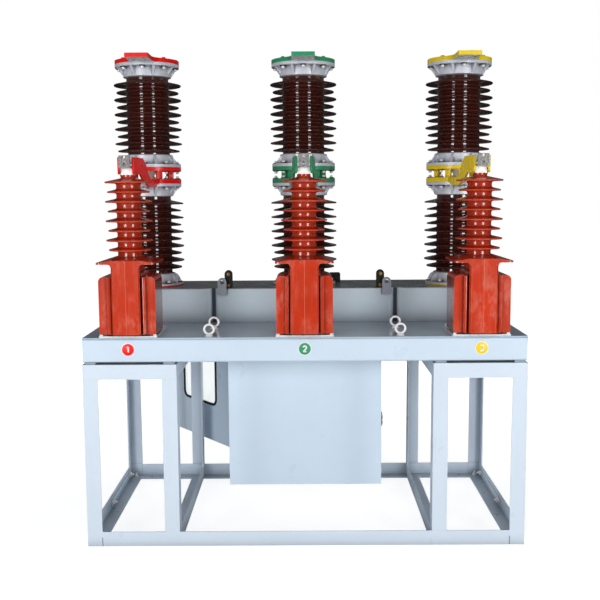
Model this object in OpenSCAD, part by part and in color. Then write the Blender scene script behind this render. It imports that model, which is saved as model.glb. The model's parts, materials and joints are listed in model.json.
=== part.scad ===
// Outdoor vacuum circuit breaker: three porcelain poles in a row on a drive housing, with a
// current transformer in front of each, on a deck that an angle-iron stand carries. The spring
// drive hangs under the deck in a sheet box with a hinged rear door, which stands open.
// X runs along the row of poles, Y from front to rear and Z up from the ground.

/* [Stand] */
// Distance from the outer pole axes to the stand's ends
end_margin = 184; // [170:1:230]
// Outside depth of the stand
stand_depth = 924; // [900:4:1100]
// Height of the stand's top above the ground
stand_h = 748; // [740:4:1000]
// Clear width between the mechanism box and the inner legs
bay_gap = 187; // [170:1:220]
// Flange width of the angle iron
angle_w = 60; // [50:1:70]
// Flange thickness of the angle iron
angle_t = 6; // [4:0.5:8]
// Radius of the holes for the foundation bolts
anchor_hole_r = 9; // [6:0.5:12]
// Distance of the foundation holes from the stand's ends
anchor_inset = 110; // [90:5:250]
// Distance of the foundation holes from the stand's long sides
anchor_edge = 36; // [28:1:40]

/* [Deck] */
// Setback of the deck behind the stand's outside, on every side
deck_setback = 3; // [0:1:10]
// Thickness of the deck plate
deck_t = 5; // [3:0.5:8]
// Height of the beams under the deck plate
beam_h = 94; // [70:1:140]
// Sheet thickness of the beams
beam_t = 5; // [3:0.5:6]
// Outside radius of the beams' bends
bend_r = 9; // [7:0.5:14]
// Width of the beams' lips
beam_lip = 50; // [30:1:80]
// Thickness of the packing plates between the stand and the beams
packing_t = 8; // [4:1:15]
// Setback of the packing plates from the edges of the angle iron
packing_inset = 8; // [4:1:14]

/* [Drive housing] */
// Distance of the housing's ends beyond the outer pole flanges
housing_margin = 20; // [10:1:30]
// Depth of the drive housing
housing_depth = 362; // [330:2:420]
// Height of the drive housing
housing_h = 149; // [120:1:180]
// Distance of the housing's middle in front of the pole axes
housing_ahead = 9; // [0:1:20]
// Distance from the middle to the seams between the housing's three sections
seam_x = 400; // [380:2:420]
// Radius of the rounded corners at the seams
seam_r = 30; // [15:1:40]
// Distance between the two lifting lugs
lug_gap = 722; // [690:2:740]
// Width of the lifting lugs
lug_w = 39; // [30:1:50]
// Thickness of the lifting lugs
lug_t = 12; // [8:1:16]
// Height of the lifting lugs
lug_h = 76; // [60:1:90]
// Height of the lugs' tops above the housing
lug_rise = 48; // [40:1:56]
// Radius of the holes in the lugs
lug_hole_r = 9; // [6:0.5:11]
// Distance between the two black straps
strap_gap = 668; // [640:2:680]
// Width of the black straps
strap_w = 35; // [25:1:40]
// Thickness of the black straps
strap_t = 14; // [8:1:18]
// Height of the black straps
strap_h = 80; // [60:1:100]
// Distance of the straps behind the housing's front
strap_back = 22; // [16:1:40]
// Distance of the black vent block from the housing's middle
vent_x = 118; // [80:2:140]
// Distance of the vent block in front of the housing's rear
vent_back = 46; // [30:1:80]
// Corner radius of the vent block
vent_r = 8; // [3:0.5:12]
// Width of the black vent block on the housing
vent_w = 52; // [30:1:60]
// Depth of the vent block
vent_d = 26; // [20:1:36]
// Height of the vent block
vent_h = 42; // [30:1:60]

/* [Eye bolts] */
// Distance between the left and right eye bolts
eye_gap = 762; // [740:2:780]
// Distance of the front eye bolts from the deck's front edge
eye_front = 31; // [28:1:50]
// Distance from the front eye bolts to the rear ones
eye_pitch = 203; // [150:1:230]
// Radius of the ring, to the middle of its bar
eye_ring_r = 19; // [15:0.5:24]
// Radius of the ring's bar
eye_bar_r = 4.5; // [3:0.5:6]
// Radius of the collar under the ring
eye_collar_r = 12; // [8:0.5:15]
// Height of the collar
eye_collar_h = 8; // [5:0.5:12]
// How far the ring's bar runs into its collar
eye_sink = 3; // [1:0.5:4]

/* [Poles] */
// Distance from pole to pole
pole_gap = 700; // [680:5:720]
// Distance of the pole axes behind the deck's middle
pole_y = 159; // [140:1:180]
// Radius of the flanges
flange_r = 142; // [136:1:150]
// Thickness of the flanges
flange_t = 13; // [10:1:18]
// Radius of the hubs
hub_r = 106; // [98:1:115]
// Height of a hub with its flange
hub_h = 54; // [44:1:70]
// Number of ribs on each hub
hub_ribs = 8; // [4:1:12]
// Thickness of the ribs
rib_t = 9; // [5:0.5:14]
// Distance of the ribs' feet inside the flange's edge
rib_inset = 9; // [4:1:14]
// Height of the ribs' upright edge at their feet
rib_edge = 3; // [1:0.5:6]
// Distance of the ribs' ends from the hub's end
rib_end = 2; // [0.5:0.5:6]
// Belly of the base hub's ribs: 1 is a straight slope, 2 a quarter of an ellipse
rib_belly = 1.7; // [1:0.1:2]
// Radius of the porcelain's core
core_r = 93; // [85:1:97]
// Radius of the large sheds
shed_r = 149; // [143:1:160]
// Radius of the small sheds
small_shed_r = 138; // [120:1:142]
// Radius of the sheds' rounded lip
lip_r = 3.5; // [3:0.5:6]
// Rise of a shed's upper face towards the core, for each millimetre inwards
shed_rise = 0.2; // [0.1:0.01:0.3]
// Rise of a shed's lower face away from the core, for each millimetre outwards
shed_under = 0.03; // [0:0.01:0.1]
// Radius of the fillets where the porcelain's sheds meet its core
root_r = 6; // [2:0.5:6.5]
// Length of the lower porcelain
lower_len = 353; // [340:5:420]
// Length of the upper porcelain
upper_len = 344; // [330:5:420]
// Pairs of a large and a small shed on each porcelain
shed_pairs = 5; // [4:1:6]
// Distance of the first large shed under the porcelain's top
shed_top = 35.5; // [30:0.5:50]
// Distance from shed to shed
shed_pitch = 32.2; // [30:0.1:33]

/* [Outlet lantern] */
// Height of the open lantern between the two porcelains
lantern_h = 73; // [64:1:90]
// Thickness of the lantern's lower ring
lantern_low_t = 20; // [14:1:24]
// Thickness of the lantern's upper ring
lantern_top_t = 17; // [12:1:20]
// Width of the lantern's rings
ring_w = 54; // [50:1:60]
// Outer radius of the barrel the posts are left from
barrel_r = 113; // [104:1:118]
// Wall of that barrel
barrel_t = 20; // [12:1:26]
// Angle of the front posts to each side of the outlet arm
front_post_angle = 33; // [29:1:40]
// Share of the barrel's turn each front post takes
front_post_arc = 13; // [10:1:18]
// Angle of the rear posts to each side of the outlet arm
rear_post_angle = 126; // [110:1:150]
// Share of the barrel's turn each rear post takes
rear_post_arc = 21; // [12:1:30]
// Radius of the drive rod inside the lantern
rod_r = 22; // [15:1:30]
// Thickness of each cheek of the outlet arm
cheek_t = 8; // [6:1:14]
// Clear width between the cheeks
arm_gap = 48; // [40:1:60]
// How far each cheek spreads outwards on its way to the transformer's axis
arm_flare = 7; // [0:1:10]
// How far each cheek spreads outwards in all on its way to the lantern
arm_spread = 34; // [20:1:38]
// How far the cheeks run into the lantern's rings
arm_root = 32; // [20:1:38]
// Depth of the arm's dip below the lantern's foot
arm_dip = 16; // [6:1:22]
// Length of the slope from the lantern down to the dip
arm_drop = 60; // [40:1:90]
// Length over which the arm climbs to the transformer's first shed
arm_climb = 88; // [60:1:110]
// Rise of the arm's underside over the transformer's first shed
arm_step = 28; // [20:1:34]
// Length of the level top behind the transformer's axis
arm_shoulder = 95; // [70:1:110]
// Length of the slope behind the level top
arm_slope = 60; // [50:1:80]
// Drop of the slope behind the level top
arm_slope_drop = 40; // [30:1:46]
// Radius of the arm's lower front corner
arm_nose_r = 22; // [10:1:28]
// Radius of the arm's upper front corner
arm_brow_r = 6; // [3:0.5:12]
// Reach of the arm's front beyond the transformer's axis
arm_nose = 48; // [40:1:60]
// Height of the arm's front
arm_front_h = 66; // [56:1:80]
// Clearance between the arm and the transformer's cap
arm_clear = 3; // [2:0.5:6]
// Clearance between the arm and the hub's flange
arm_side_clear = 2; // [1:0.5:4]

/* [Top terminal] */
// Thickness of the top terminal plate
top_t = 18; // [12:1:24]
// Width of the top terminal's pad
pad_w = 99; // [85:1:120]
// Reach of the top terminal's pad in front of the pole axis
pad_reach = 269; // [240:1:300]
// Radius of the wide fillets where the pad joins the plate
pad_fillet_r = 60; // [20:1:90]
// Radius of the bolt holes in the pad
pad_hole_r = 7; // [5:0.5:9]
// Distance between the bolt holes in the pad
pad_hole_gap = 50; // [40:1:60]
// Distance of the first bolt holes from the pad's front edge
pad_hole_edge = 27; // [20:1:32]
// Radius of the boss on top of the plate
boss_r = 32; // [20:1:45]
// Height of the boss on top of the plate
boss_h = 18; // [10:1:20]

/* [Current transformers] */
// Distance of the transformer axes in front of the deck's middle
ct_y = 355; // [345:1:362]
// Width of the transformer body over its wings
ct_w = 224; // [210:2:228]
// Depth of the wings
ct_wing_d = 176; // [150:2:190]
// Height of the wings
ct_wing_h = 228; // [200:2:250]
// Radius of the wings' upper outer corners
ct_wing_r = 20; // [10:1:34]
// Radius of the fillets between the wings' tops and the column
ct_wing_fillet_r = 12; // [6:1:16]
// Width of the body's front column
ct_column_w = 112; // [100:2:124]
// Projection of the front column beyond the wings
ct_column_out = 29; // [15:1:34]
// Bevel on the front column's edges
ct_bevel = 7; // [3:0.5:10]
// Width of the grooves beside the front column
ct_groove_w = 19; // [8:1:22]
// Depth of the grooves beside the front column
ct_groove_d = 24; // [16:1:80]
// Distance of the body's middle in front of the transformer axis
ct_body_ahead = 8; // [0:1:14]
// Height of the body under the skirt
ct_body_h = 278; // [260:2:320]
// Width of the skirt over the body
ct_skirt_w = 230; // [228:2:240]
// Depth of the skirt over the body
ct_skirt_d = 250; // [250:2:260]
// Thickness of the skirt's edge
ct_skirt_t = 7; // [5:0.5:10]
// Rise of the skirt towards the core
ct_skirt_rise = 20; // [16:1:34]
// Height of the column's front face over the skirt's edge
ct_brow_h = 9; // [4:1:14]
// Width of the column's head where it meets the core
ct_brow_w = 56; // [40:2:80]
// Radius of the skirt's top round the core
ct_skirt_top_r = 52; // [50:1:70]
// Corner radius of the skirt
ct_skirt_r = 16; // [6:1:24]
// Height of the shed column above the skirt's underside
ct_stack_h = 336; // [330:1:400]
// Radius of the transformer's core
ct_core_r = 48; // [44:1:56]
// Radius of the transformer's large sheds
ct_shed_r = 93; // [84:1:98]
// Radius of the transformer's small sheds
ct_small_shed_r = 84; // [70:1:88]
// Radius of the lips on the transformer's sheds
ct_lip_r = 3.5; // [2:0.5:5]
// Rise of the transformer's sheds towards the core, for each millimetre inwards
ct_shed_rise = 0.19; // [0.1:0.01:0.4]
// Rise of their lower faces away from the core, for each millimetre outwards
ct_shed_under = 0.04; // [0:0.01:0.2]
// Radius of the fillets where the transformer's sheds meet its core
ct_root_r = 7; // [2:0.5:9]
// Pairs of a large and a small shed on the transformer
ct_shed_pairs = 4; // [3:1:5]
// Distance of the first shed under the column's top
ct_shed_top = 16.5; // [15:0.5:30]
// Distance from shed to shed on the transformer
ct_shed_pitch = 38.4; // [34:0.1:40]
// Radius of the cap on the column
ct_cap_r = 27; // [24:1:40]
// Height of the cap on the column
ct_cap_h = 12; // [5:1:16]
// Height of the bare terminal block on the cap
ct_block_h = 25; // [18:1:32]
// Depth of the terminal block
ct_block_d = 60; // [36:1:66]
// Clearance between the terminal block and the arm's cheeks
ct_block_clear = 1; // [0.5:0.5:3]
// Width of the contact pad
outlet_pad_w = 43; // [36:1:46]
// Thickness of the contact pad
outlet_pad_t = 14; // [10:1:20]
// Thickness of the foot that carries the contact pad on the terminal block
outlet_foot_t = 10; // [8:1:14]
// Reach of the contact pad's face beyond the transformer's axis
outlet_reach = 76; // [70:1:84]
// Height of the contact pad over its foot's underside
outlet_pad_h = 50; // [44:1:56]
// Radius of the holes in the contact pad
outlet_hole_r = 5.5; // [4:0.5:7]
// Distance between the holes in the contact pad
outlet_hole_gap = 27; // [20:1:28]
// Height of the lower hole over the foot's underside
outlet_hole_z = 16; // [15:0.5:20]
// Width of the base plate
ct_plate_w = 230; // [226:2:250]
// Depth of the base plate
ct_plate_d = 250; // [240:2:270]
// Thickness of the base plate
ct_plate_t = 6; // [4:0.5:10]
// Distance of the base plate's middle behind the transformer axis
ct_plate_back = 26; // [16:1:30]
// Height of the feet under the body
ct_foot_h = 8; // [4:1:14]
// Radius of the feet under the body
ct_foot_r = 12; // [8:1:16]
// Distance of the feet from the wings' edges
ct_foot_edge = 20; // [17:1:30]

/* [Mechanism box] */
// Width of the mechanism box
box_w = 646; // [600:2:680]
// Depth of the mechanism box
box_depth = 490; // [470:2:520]
// Height of the mechanism box
box_h = 573; // [560:1:600]
// Distance of the box's open rear from the stand's rear
box_rear_gap = 212; // [200:1:230]
// Sheet thickness of the box
box_t = 3; // [2:0.5:5]
// Width of the lips round the box's open rear
box_lip = 18; // [10:1:25]
// Height of the black latch plate on the box's right side
latch_h = 60; // [40:1:80]
// Width of the latch plate
latch_w = 36; // [25:1:50]
// Thickness of the latch plate
latch_t = 8; // [5:0.5:10]
// Distance of the latch plate's middle behind the box's front
latch_y = 60; // [40:1:90]
// Height of the latch plate's middle above the box's floor
latch_z = 270; // [200:5:350]

/* [Door] */
// Thickness of the door leaf
door_t = 25; // [20:1:30]
// Sheet thickness of the door leaf
door_skin = 3; // [2:0.5:4]
// Gap between the box and the closed door
door_gap = 5; // [5:0.5:8]
// Gap between the door's top and the deck's beams
door_top_gap = 6; // [5:0.5:10]
// Angle at which the door stands open
door_open = 127; // [0:1:130]
// Width of the door's window
window_w = 304; // [200:2:360]
// Height of the door's window
window_h = 307; // [200:2:330]
// Height of the window's lower edge above the door's lower edge
window_z = 190; // [150:2:220]
// Corner radius of the window
window_r = 28; // [16:1:40]
// Thickness of the window pane
pane_t = 4; // [3:0.5:6]
// Width of the rubber gasket round the window
gasket_w = 9; // [6:0.5:14]
// How far the gasket covers the window's edge
gasket_in = 3; // [1:0.5:6]
// Projection of the gasket from the door's face
gasket_out = 4; // [2:0.5:6]
// Length of the door handle
handle_h = 110; // [80:2:140]
// Width of the door handle
handle_w = 24; // [16:1:32]
// Projection of the door handle
handle_out = 28; // [20:1:36]
// Thickness of the handle's bar
handle_bar = 11; // [8:0.5:14]
// Height of the handle's feet
handle_foot = 19; // [12:1:24]
// Distance of the door handle from the door's free edge
handle_edge = 42; // [30:1:60]

/* [Hinges] */
// Radius of the hinge knuckles
knuckle_r = 10; // [8:0.5:12]
// Height of each hinge knuckle
knuckle_h = 30; // [20:1:40]
// Radius of the hinge pins
pin_r = 5; // [3:0.5:6]
// Radial clearance between a pin and its knuckle
pin_clear = 0.3; // [0.1:0.1:0.5]
// Gap between the two knuckles of a hinge
knuckle_gap = 1; // [0.5:0.5:2]
// Thickness of the hinge leaves
leaf_t = 4; // [3:0.5:5]
// Length of the hinge leaves on the box and on the door
leaf_len = 44; // [30:1:60]
// Distance of the hinges from the box's floor and roof
hinge_edge = 110; // [80:5:150]

/* [Mechanism] */
// Distance between the two side plates of the spring drive
plate_gap = 220; // [180:2:240]
// Thickness of the side plates
plate_t = 8; // [5:0.5:12]
// Depth of the side plates
plate_d = 250; // [220:2:270]
// Height of the side plates
plate_h = 390; // [370:2:410]
// Distance of the side plates behind the box's front
plate_back = 110; // [90:2:130]
// Radius of the holes in the side plates
plate_hole_r = 34; // [20:1:40]
// Radius of the tie rods between the side plates
tie_r = 8; // [5:0.5:10]
// Distance of the tie rods from the side plates' edges
tie_edge = 24; // [16:1:34]
// Height of the main shaft above the side plates' lower edge
shaft_up = 150; // [130:2:170]
// Radius of the main shaft
shaft_r = 15; // [10:1:20]
// Radius of the ratchet wheel
ratchet_r = 66; // [50:1:76]
// Number of teeth on the ratchet wheel
ratchet_teeth = 24; // [16:1:32]
// Depth of the ratchet wheel's teeth
tooth_h = 6; // [3:0.5:9]
// Thickness of the ratchet wheel and of the cam
ratchet_t = 14; // [8:1:20]
// Radius of the cam's base circle
cam_r = 34; // [28:1:44]
// Lift of the cam
cam_lift = 22; // [12:1:28]
// Length of the cranks
crank_len = 62; // [50:1:70]
// Thickness of the cranks
crank_t = 12; // [8:1:16]
// Wall of the cranks round the shaft
crank_wall = 5; // [3:0.5:8]
// Gap between the cranks and the side plates
crank_gap = 2; // [1:0.5:5]
// Radius of the pins that hold the springs' eyes
hook_r = 7; // [5:0.5:9]
// Radius of the closing springs
spring_r = 32; // [24:1:38]
// Radius of the springs' wire
wire_r = 4.5; // [3:0.5:5]
// Number of turns in each spring
spring_turns = 14; // [10:1:16]
// Distance of the springs outside the side plates
spring_out = 70; // [62:1:80]
// Thickness of the springs' eyes
spring_eye_t = 12; // [8:1:16]
// Wall of the springs' eyes
spring_eye_wall = 7; // [4:0.5:9]
// Height of the springs' lower pins above the side plates' lower edge
anchor_up = 20; // [16:1:30]
// Radius of the charging motor
motor_r = 42; // [30:1:46]
// Length of the charging motor
motor_len = 130; // [90:2:150]
// Height of the motor's foot
motor_foot = 8; // [4:1:14]
// Width of the charging gearbox
gearbox_w = 96; // [80:2:110]
// Number of terminals on the terminal strip
strip_count = 12; // [6:1:14]
// Pitch of the terminals
strip_pitch = 22; // [20:1:24]
// Width of one terminal
terminal_w = 18; // [12:1:19]
// Depth of the terminals
terminal_d = 34; // [24:1:40]
// Distance of the terminal strip behind the box's front
strip_back = 206; // [180:2:260]
// Thickness of the terminal strip's rail
rail_t = 8; // [4:1:12]
// Width of the terminal strip's rail
rail_w = 54; // [44:1:64]

/* [Hidden] */
$fn = 64;
eps = 0.01;
over = 1;

stand_len = 2 * pole_gap + 2 * end_margin;
half_len = stand_len / 2 - box_w / 2 - bay_gap;
stand_x = -stand_len / 2;
stand_y = -stand_depth / 2;
deck_len = stand_len - 2 * deck_setback;
deck_depth = stand_depth - 2 * deck_setback;
beam_z = stand_h + packing_t;
deck_z = beam_z + beam_h;
deck_top = deck_z + deck_t;

housing_len = 2 * (pole_gap + flange_r + housing_margin);
housing_y = pole_y - housing_ahead - housing_depth / 2;
housing_top = deck_top + housing_h;

lower_z = housing_top + hub_h;
lantern_z = lower_z + lower_len + hub_h;
upper_z = lantern_z + lantern_h + hub_h;
top_z = upper_z + upper_len + hub_h;

ct_z = deck_top + ct_plate_t + ct_foot_h;
ct_skirt_z = ct_z + ct_body_h;
ct_top_z = ct_skirt_z + ct_stack_h + ct_cap_h;
ct_reach = pole_y + ct_y;

box_z = beam_z - box_h;
box_y = stand_depth / 2 - box_rear_gap - box_depth;
box_rear = box_y + box_depth;
door_h = box_h - door_top_gap;
door_start = 1.5 * knuckle_r;
door_w = box_w + knuckle_r - door_start;
hinge_x = -box_w / 2 - knuckle_r;
hinge_y = box_rear + door_gap + door_t;
window_x = door_start + (door_w - window_w) / 2;

plate_front = box_y + plate_back;
plate_low = beam_z - box_t - plate_h;
shaft_y = plate_front + plate_d / 2;
shaft_level = plate_low + shaft_up;
anchor_z = plate_low + anchor_up;
strip_y = box_y + strip_back;

steel = [0.80, 0.85, 0.90];
phase_colors = ["red", "green", "gold"];

// Copies to both sides of the middle, along X and along Y, and one at each pole.
module both_x() { children(); mirror([1, 0, 0]) children(); }
module both_y() { children(); mirror([0, 1, 0]) children(); }
module at_pole(i) { translate([(i - 2) * pole_gap, 0, 0]) children(); }
module at_poles() { for (i = [1:3]) at_pole(i) children(); }

// ---- stand of angle iron ----

// Section of the angle iron: its heel is at the origin, and its toes are rounded.
module angle_section() {
    toe = angle_t / 2;
    difference() {
        square(angle_w);
        translate([angle_t, angle_t]) square(angle_w);
        for (flip = [0, 1]) mirror([flip, -flip]) translate([angle_w - toe, angle_t - toe])
            difference() { square(angle_t); circle(r = toe); }
    }
}
module angle_bar(length) { linear_extrude(length) angle_section(); }
module bar_along_x(x, y, length) {
    translate([x, y, 0]) rotate([90, 0, 90]) angle_bar(length);
}
module bar_along_y(x, length) {
    translate([x, length / 2, 0]) rotate([90, 0, 0]) angle_bar(length);
}

module outer_leg() {
    difference() {
        translate([stand_x, stand_y, 0]) angle_bar(stand_h - angle_t);
        // The top rail's upright flange takes the place of the leg's front flange.
        translate([stand_x - over, stand_y - over, stand_h - angle_w])
            cube([angle_w + 2 * over, angle_t + over, angle_w]);
    }
}
module inner_leg() {
    difference() {
        translate([stand_x + half_len, stand_y, angle_t]) mirror([1, 0, 0])
            angle_bar(stand_h - 2 * angle_t);
        for (z = [angle_w - stand_h, stand_h - angle_w])
            translate([stand_x + half_len - angle_w - over, stand_y - over, z])
                cube([angle_w + 2 * over, angle_t + over, stand_h]);
    }
}
module legs() {
    color(steel) both_x() both_y() {
        outer_leg();
        inner_leg();
    }
}
module bottom_long_rails() {
    color(steel) both_y() difference() {
        bar_along_x(stand_x + angle_w, stand_y, stand_len - 2 * angle_w);
        both_x() translate([stand_x + anchor_inset, stand_y + anchor_edge, -over])
            cylinder(r = anchor_hole_r, h = angle_t + 2 * over);
    }
}
module side_rails() {
    length = stand_depth - 2 * angle_w;
    both_x() {
        bar_along_y(stand_x, length);
        translate([stand_x + half_len, 0, 0]) mirror([1, 0, 0]) bar_along_y(0, length);
    }
}
module bottom_side_rails() { color(steel) side_rails(); }
module top_side_rails() {
    color(steel) translate([0, 0, stand_h]) mirror([0, 0, 1]) side_rails();
}
module top_long_rails() {
    color(steel) translate([0, 0, stand_h]) mirror([0, 0, 1]) both_x() both_y()
        bar_along_x(stand_x, stand_y, half_len);
}
module packing_plates() {
    side = angle_w - 2 * packing_inset;
    color("dimgray") both_x() both_y() for (x = [0, half_len - angle_w])
        translate([stand_x + x + packing_inset, stand_y + packing_inset, stand_h])
            cube([side, side, packing_t]);
}

// ---- deck on folded beams ----

// Section of a folded channel: its web is on the left, its bends are round.
module channel_section() {
    inner_r = bend_r - beam_t;
    difference() {
        union() {
            translate([bend_r, 0]) square([beam_lip - bend_r, beam_h]);
            translate([0, bend_r]) square([bend_r + eps, beam_h - 2 * bend_r]);
            for (y = [bend_r, beam_h - bend_r]) translate([bend_r, y]) circle(r = bend_r);
        }
        translate([bend_r, beam_t]) square([beam_lip, beam_h - 2 * beam_t]);
        translate([beam_t, bend_r]) square([bend_r, beam_h - 2 * bend_r]);
        for (y = [bend_r, beam_h - bend_r]) translate([bend_r, y]) circle(r = inner_r);
    }
}
module long_beams() {
    color(steel) both_y() translate([-deck_len / 2, -deck_depth / 2, beam_z])
        rotate([90, 0, 90]) linear_extrude(deck_len) channel_section();
}
module cross_members() {
    length = deck_depth - 2 * beam_lip;
    color("slategray") both_x() for (x = [deck_len / 2, box_w / 2])
        translate([x, length / 2, beam_z]) rotate([90, 0, 0]) mirror([1, 0, 0])
            linear_extrude(length) channel_section();
}
module deck_plate() {
    color("dimgray") translate([-deck_len / 2, -deck_depth / 2, deck_z])
        cube([deck_len, deck_depth, deck_t]);
}

// ---- drive housing ----

// The housing's plan: three sections whose round corners meet in a valley at each seam.
module seam_valley() {
    difference() {
        translate([-seam_r, -over]) square([2 * seam_r, seam_r + over]);
        for (s = [-1, 1]) translate([s * seam_r, seam_r]) circle(r = seam_r);
    }
}
module drive_housing() {
    color("lightsteelblue") translate([0, housing_y, deck_top]) linear_extrude(housing_h)
        difference() {
            translate([-housing_len / 2, 0]) square([housing_len, housing_depth]);
            for (x = [-seam_x, seam_x]) {
                translate([x, 0]) seam_valley();
                translate([x, housing_depth]) mirror([0, 1]) seam_valley();
            }
        }
}
module lifting_lugs() {
    crown_r = lug_w / 2;
    color("gray") both_x()
        translate([lug_gap / 2, housing_y, housing_top + lug_rise]) rotate([90, 0, 0])
            linear_extrude(lug_t) difference() {
                union() {
                    translate([0, -crown_r]) circle(r = crown_r);
                    translate([-crown_r, -lug_h]) square([lug_w, lug_h - crown_r]);
                }
                translate([0, -crown_r]) circle(r = lug_hole_r);
            }
}
module eye_bolt() {
    cylinder(r = eye_collar_r, h = eye_collar_h);
    translate([0, 0, eye_collar_h + eye_ring_r + eye_bar_r - eye_sink]) rotate([90, 0, 0])
        rotate_extrude() translate([eye_ring_r, 0]) circle(r = eye_bar_r, $fn = 24);
}
module eye_bolts() {
    front = -deck_depth / 2 + eye_front;
    color("white") both_x() for (y = [front, front + eye_pitch])
        translate([eye_gap / 2, y, deck_top]) eye_bolt();
}
module black_straps() {
    crown_r = strap_w / 2;
    color("#202020") both_x() translate([strap_gap / 2, housing_y + strap_back, housing_top])
        rotate([90, 0, 0]) linear_extrude(strap_t) {
            translate([-crown_r, 0]) square([strap_w, strap_h - crown_r]);
            translate([0, strap_h - crown_r]) circle(r = crown_r);
        }
}
module vent_block() {
    color("#202020") translate([vent_x, housing_y + housing_depth - vent_back, housing_top])
        rotate([90, 0, 0]) linear_extrude(vent_d) {
            square([vent_w, vent_h - vent_r]);
            translate([vent_r, 0]) square([vent_w - 2 * vent_r, vent_h]);
            for (x = [vent_r, vent_w - vent_r])
                translate([x, vent_h - vent_r]) circle(r = vent_r);
        }
}

// ---- poles ----

// Outline of a rib, from the flange's edge up to the hub's end: straight where belly is 1 and
// round where it is 2.
function rib_outline(belly) = let (
        root = hub_r - 2 * rib_t,
        foot = flange_r - rib_inset,
        low = flange_t + rib_edge,
        high = hub_h - rib_end)
    concat([[root, flange_t - over], [foot, flange_t - over]],
        [for (t = [0:0.125:1])
            [hub_r + (foot - hub_r) * pow(1 - pow(t, belly), 1 / belly), low + (high - low) * t]],
        [[root, high]]);
module hub(belly) {
    // A cast collar with its flange at the bottom and ribs between the two.
    cylinder(r = flange_r, h = flange_t);
    cylinder(r = hub_r, h = hub_h);
    for (k = [0:hub_ribs - 1]) rotate([90, 0, (k + 0.5) * 360 / hub_ribs])
        translate([0, 0, -rib_t / 2]) linear_extrude(rib_t) polygon(rib_outline(belly));
}
module hubs(i) {
    color("silver") at_pole(i) translate([0, pole_y, 0]) {
        translate([0, 0, housing_top]) hub(rib_belly);
        translate([0, 0, lantern_z]) mirror([0, 0, 1]) hub(1);
        translate([0, 0, lantern_z + lantern_h]) hub(1);
        translate([0, 0, top_z]) mirror([0, 0, 1]) hub(1);
    }
}
// Outline of one shed with its lip's middle at height z, between the core below it and the neck
// above it. Its form lists the lip's radius, the rise of the upper face inwards and of the lower
// face outwards, and the radius of the fillets where it meets the core and the neck.
function shed(core, neck, tip, form, z) = let (
        lip = form[0],
        root = form[3],
        high = z + lip + (tip - lip - neck) * form[1],
        low = z - lip - (tip - lip - core) * form[2])
    concat(
        [for (a = [180:-30:90]) [core + root + root * cos(a), low - root + root * sin(a)]],
        [for (a = [-90:30:90]) [tip - lip + lip * cos(a), z + lip * sin(a)]],
        [for (a = [270:-30:180]) [neck + root + root * cos(a), high + root + root * sin(a)]]);
// A column with pairs of a large and a small shed, from the foot up. The top shed is large and
// carries the neck.
module shed_column(length, core, neck, large, small, form, pairs, first, pitch) {
    rotate_extrude() polygon(concat([[0, 0], [core, 0]],
        [for (k = [2 * pairs - 1:-1:0])
            each shed(core, k == 0 ? neck : core, k % 2 == 0 ? large : small, form,
                length - first - k * pitch)],
        [[neck, length], [0, length]]));
}
module porcelain(length) {
    shed_column(length, core_r, core_r, shed_r, small_shed_r,
        [lip_r, shed_rise, shed_under, root_r], shed_pairs, shed_top, shed_pitch);
}
module lower_porcelain(i) {
    color("#2a0e0a") at_pole(i) translate([0, pole_y, lower_z]) porcelain(lower_len);
}
module upper_porcelain(i) {
    color("#2a0e0a") at_pole(i) translate([0, pole_y, upper_z]) porcelain(upper_len);
}

// ---- outlet lanterns and their arms ----

// Side view of the arm: distance in front of the pole axis, height above the lantern's foot.
// Its underside dips behind the transformer, climbs over its first shed and clears its cap.
function arm_side() = let (
        root = flange_r - arm_root,
        low = ct_top_z - lantern_z + arm_clear,
        high = low + arm_front_h,
        shed_edge = ct_reach - ct_shed_r - ct_foot_r,
        nose = ct_reach + arm_nose - arm_nose_r,
        brow = ct_reach + arm_nose - arm_brow_r,
        shoulder = ct_reach - arm_shoulder)
    concat(
        [[root, 0], [flange_r + arm_side_clear, 0], [flange_r + arm_drop, -arm_dip],
            [shed_edge - arm_climb, -arm_dip], [shed_edge, low - arm_step],
            [ct_reach - ct_core_r, low]],
        [for (a = [0:22.5:90]) [nose + arm_nose_r * sin(a), low + arm_nose_r * (1 - cos(a))]],
        [for (a = [0:30:90]) [brow + arm_brow_r * cos(a), high - arm_brow_r * (1 - sin(a))]],
        [[shoulder, high], [shoulder - arm_slope * 0.8, high - arm_slope_drop * 0.55],
            [shoulder - arm_slope, high - arm_slope_drop], [shoulder - 2 * arm_slope,
                lantern_low_t], [root, lantern_low_t]]);
// Plan of one cheek: it spreads outwards from the front to the lantern.
function cheek_plan() = let (
        inner = arm_gap / 2,
        outer = inner + cheek_t,
        root = flange_r - arm_root,
        front = ct_reach + arm_nose + over)
    [[inner, -front], [outer, -front], [outer + arm_flare, -ct_reach], [outer + arm_spread, -root],
        [inner + arm_spread, -root], [inner + arm_flare, -ct_reach]];
module arm_cheeks() {
    tall = 4 * arm_front_h;
    wide = 2 * (arm_gap + cheek_t + arm_spread);
    intersection() {
        rotate([90, 0, -90]) translate([0, 0, -wide / 2]) linear_extrude(wide)
            polygon(arm_side());
        translate([0, 0, -tall / 2]) linear_extrude(tall) both_x() polygon(cheek_plan());
    }
}
module lantern_ring(h) {
    difference() {
        cylinder(r = flange_r, h = h);
        translate([0, 0, -over]) cylinder(r = flange_r - ring_w, h = h + 2 * over);
    }
}
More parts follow.
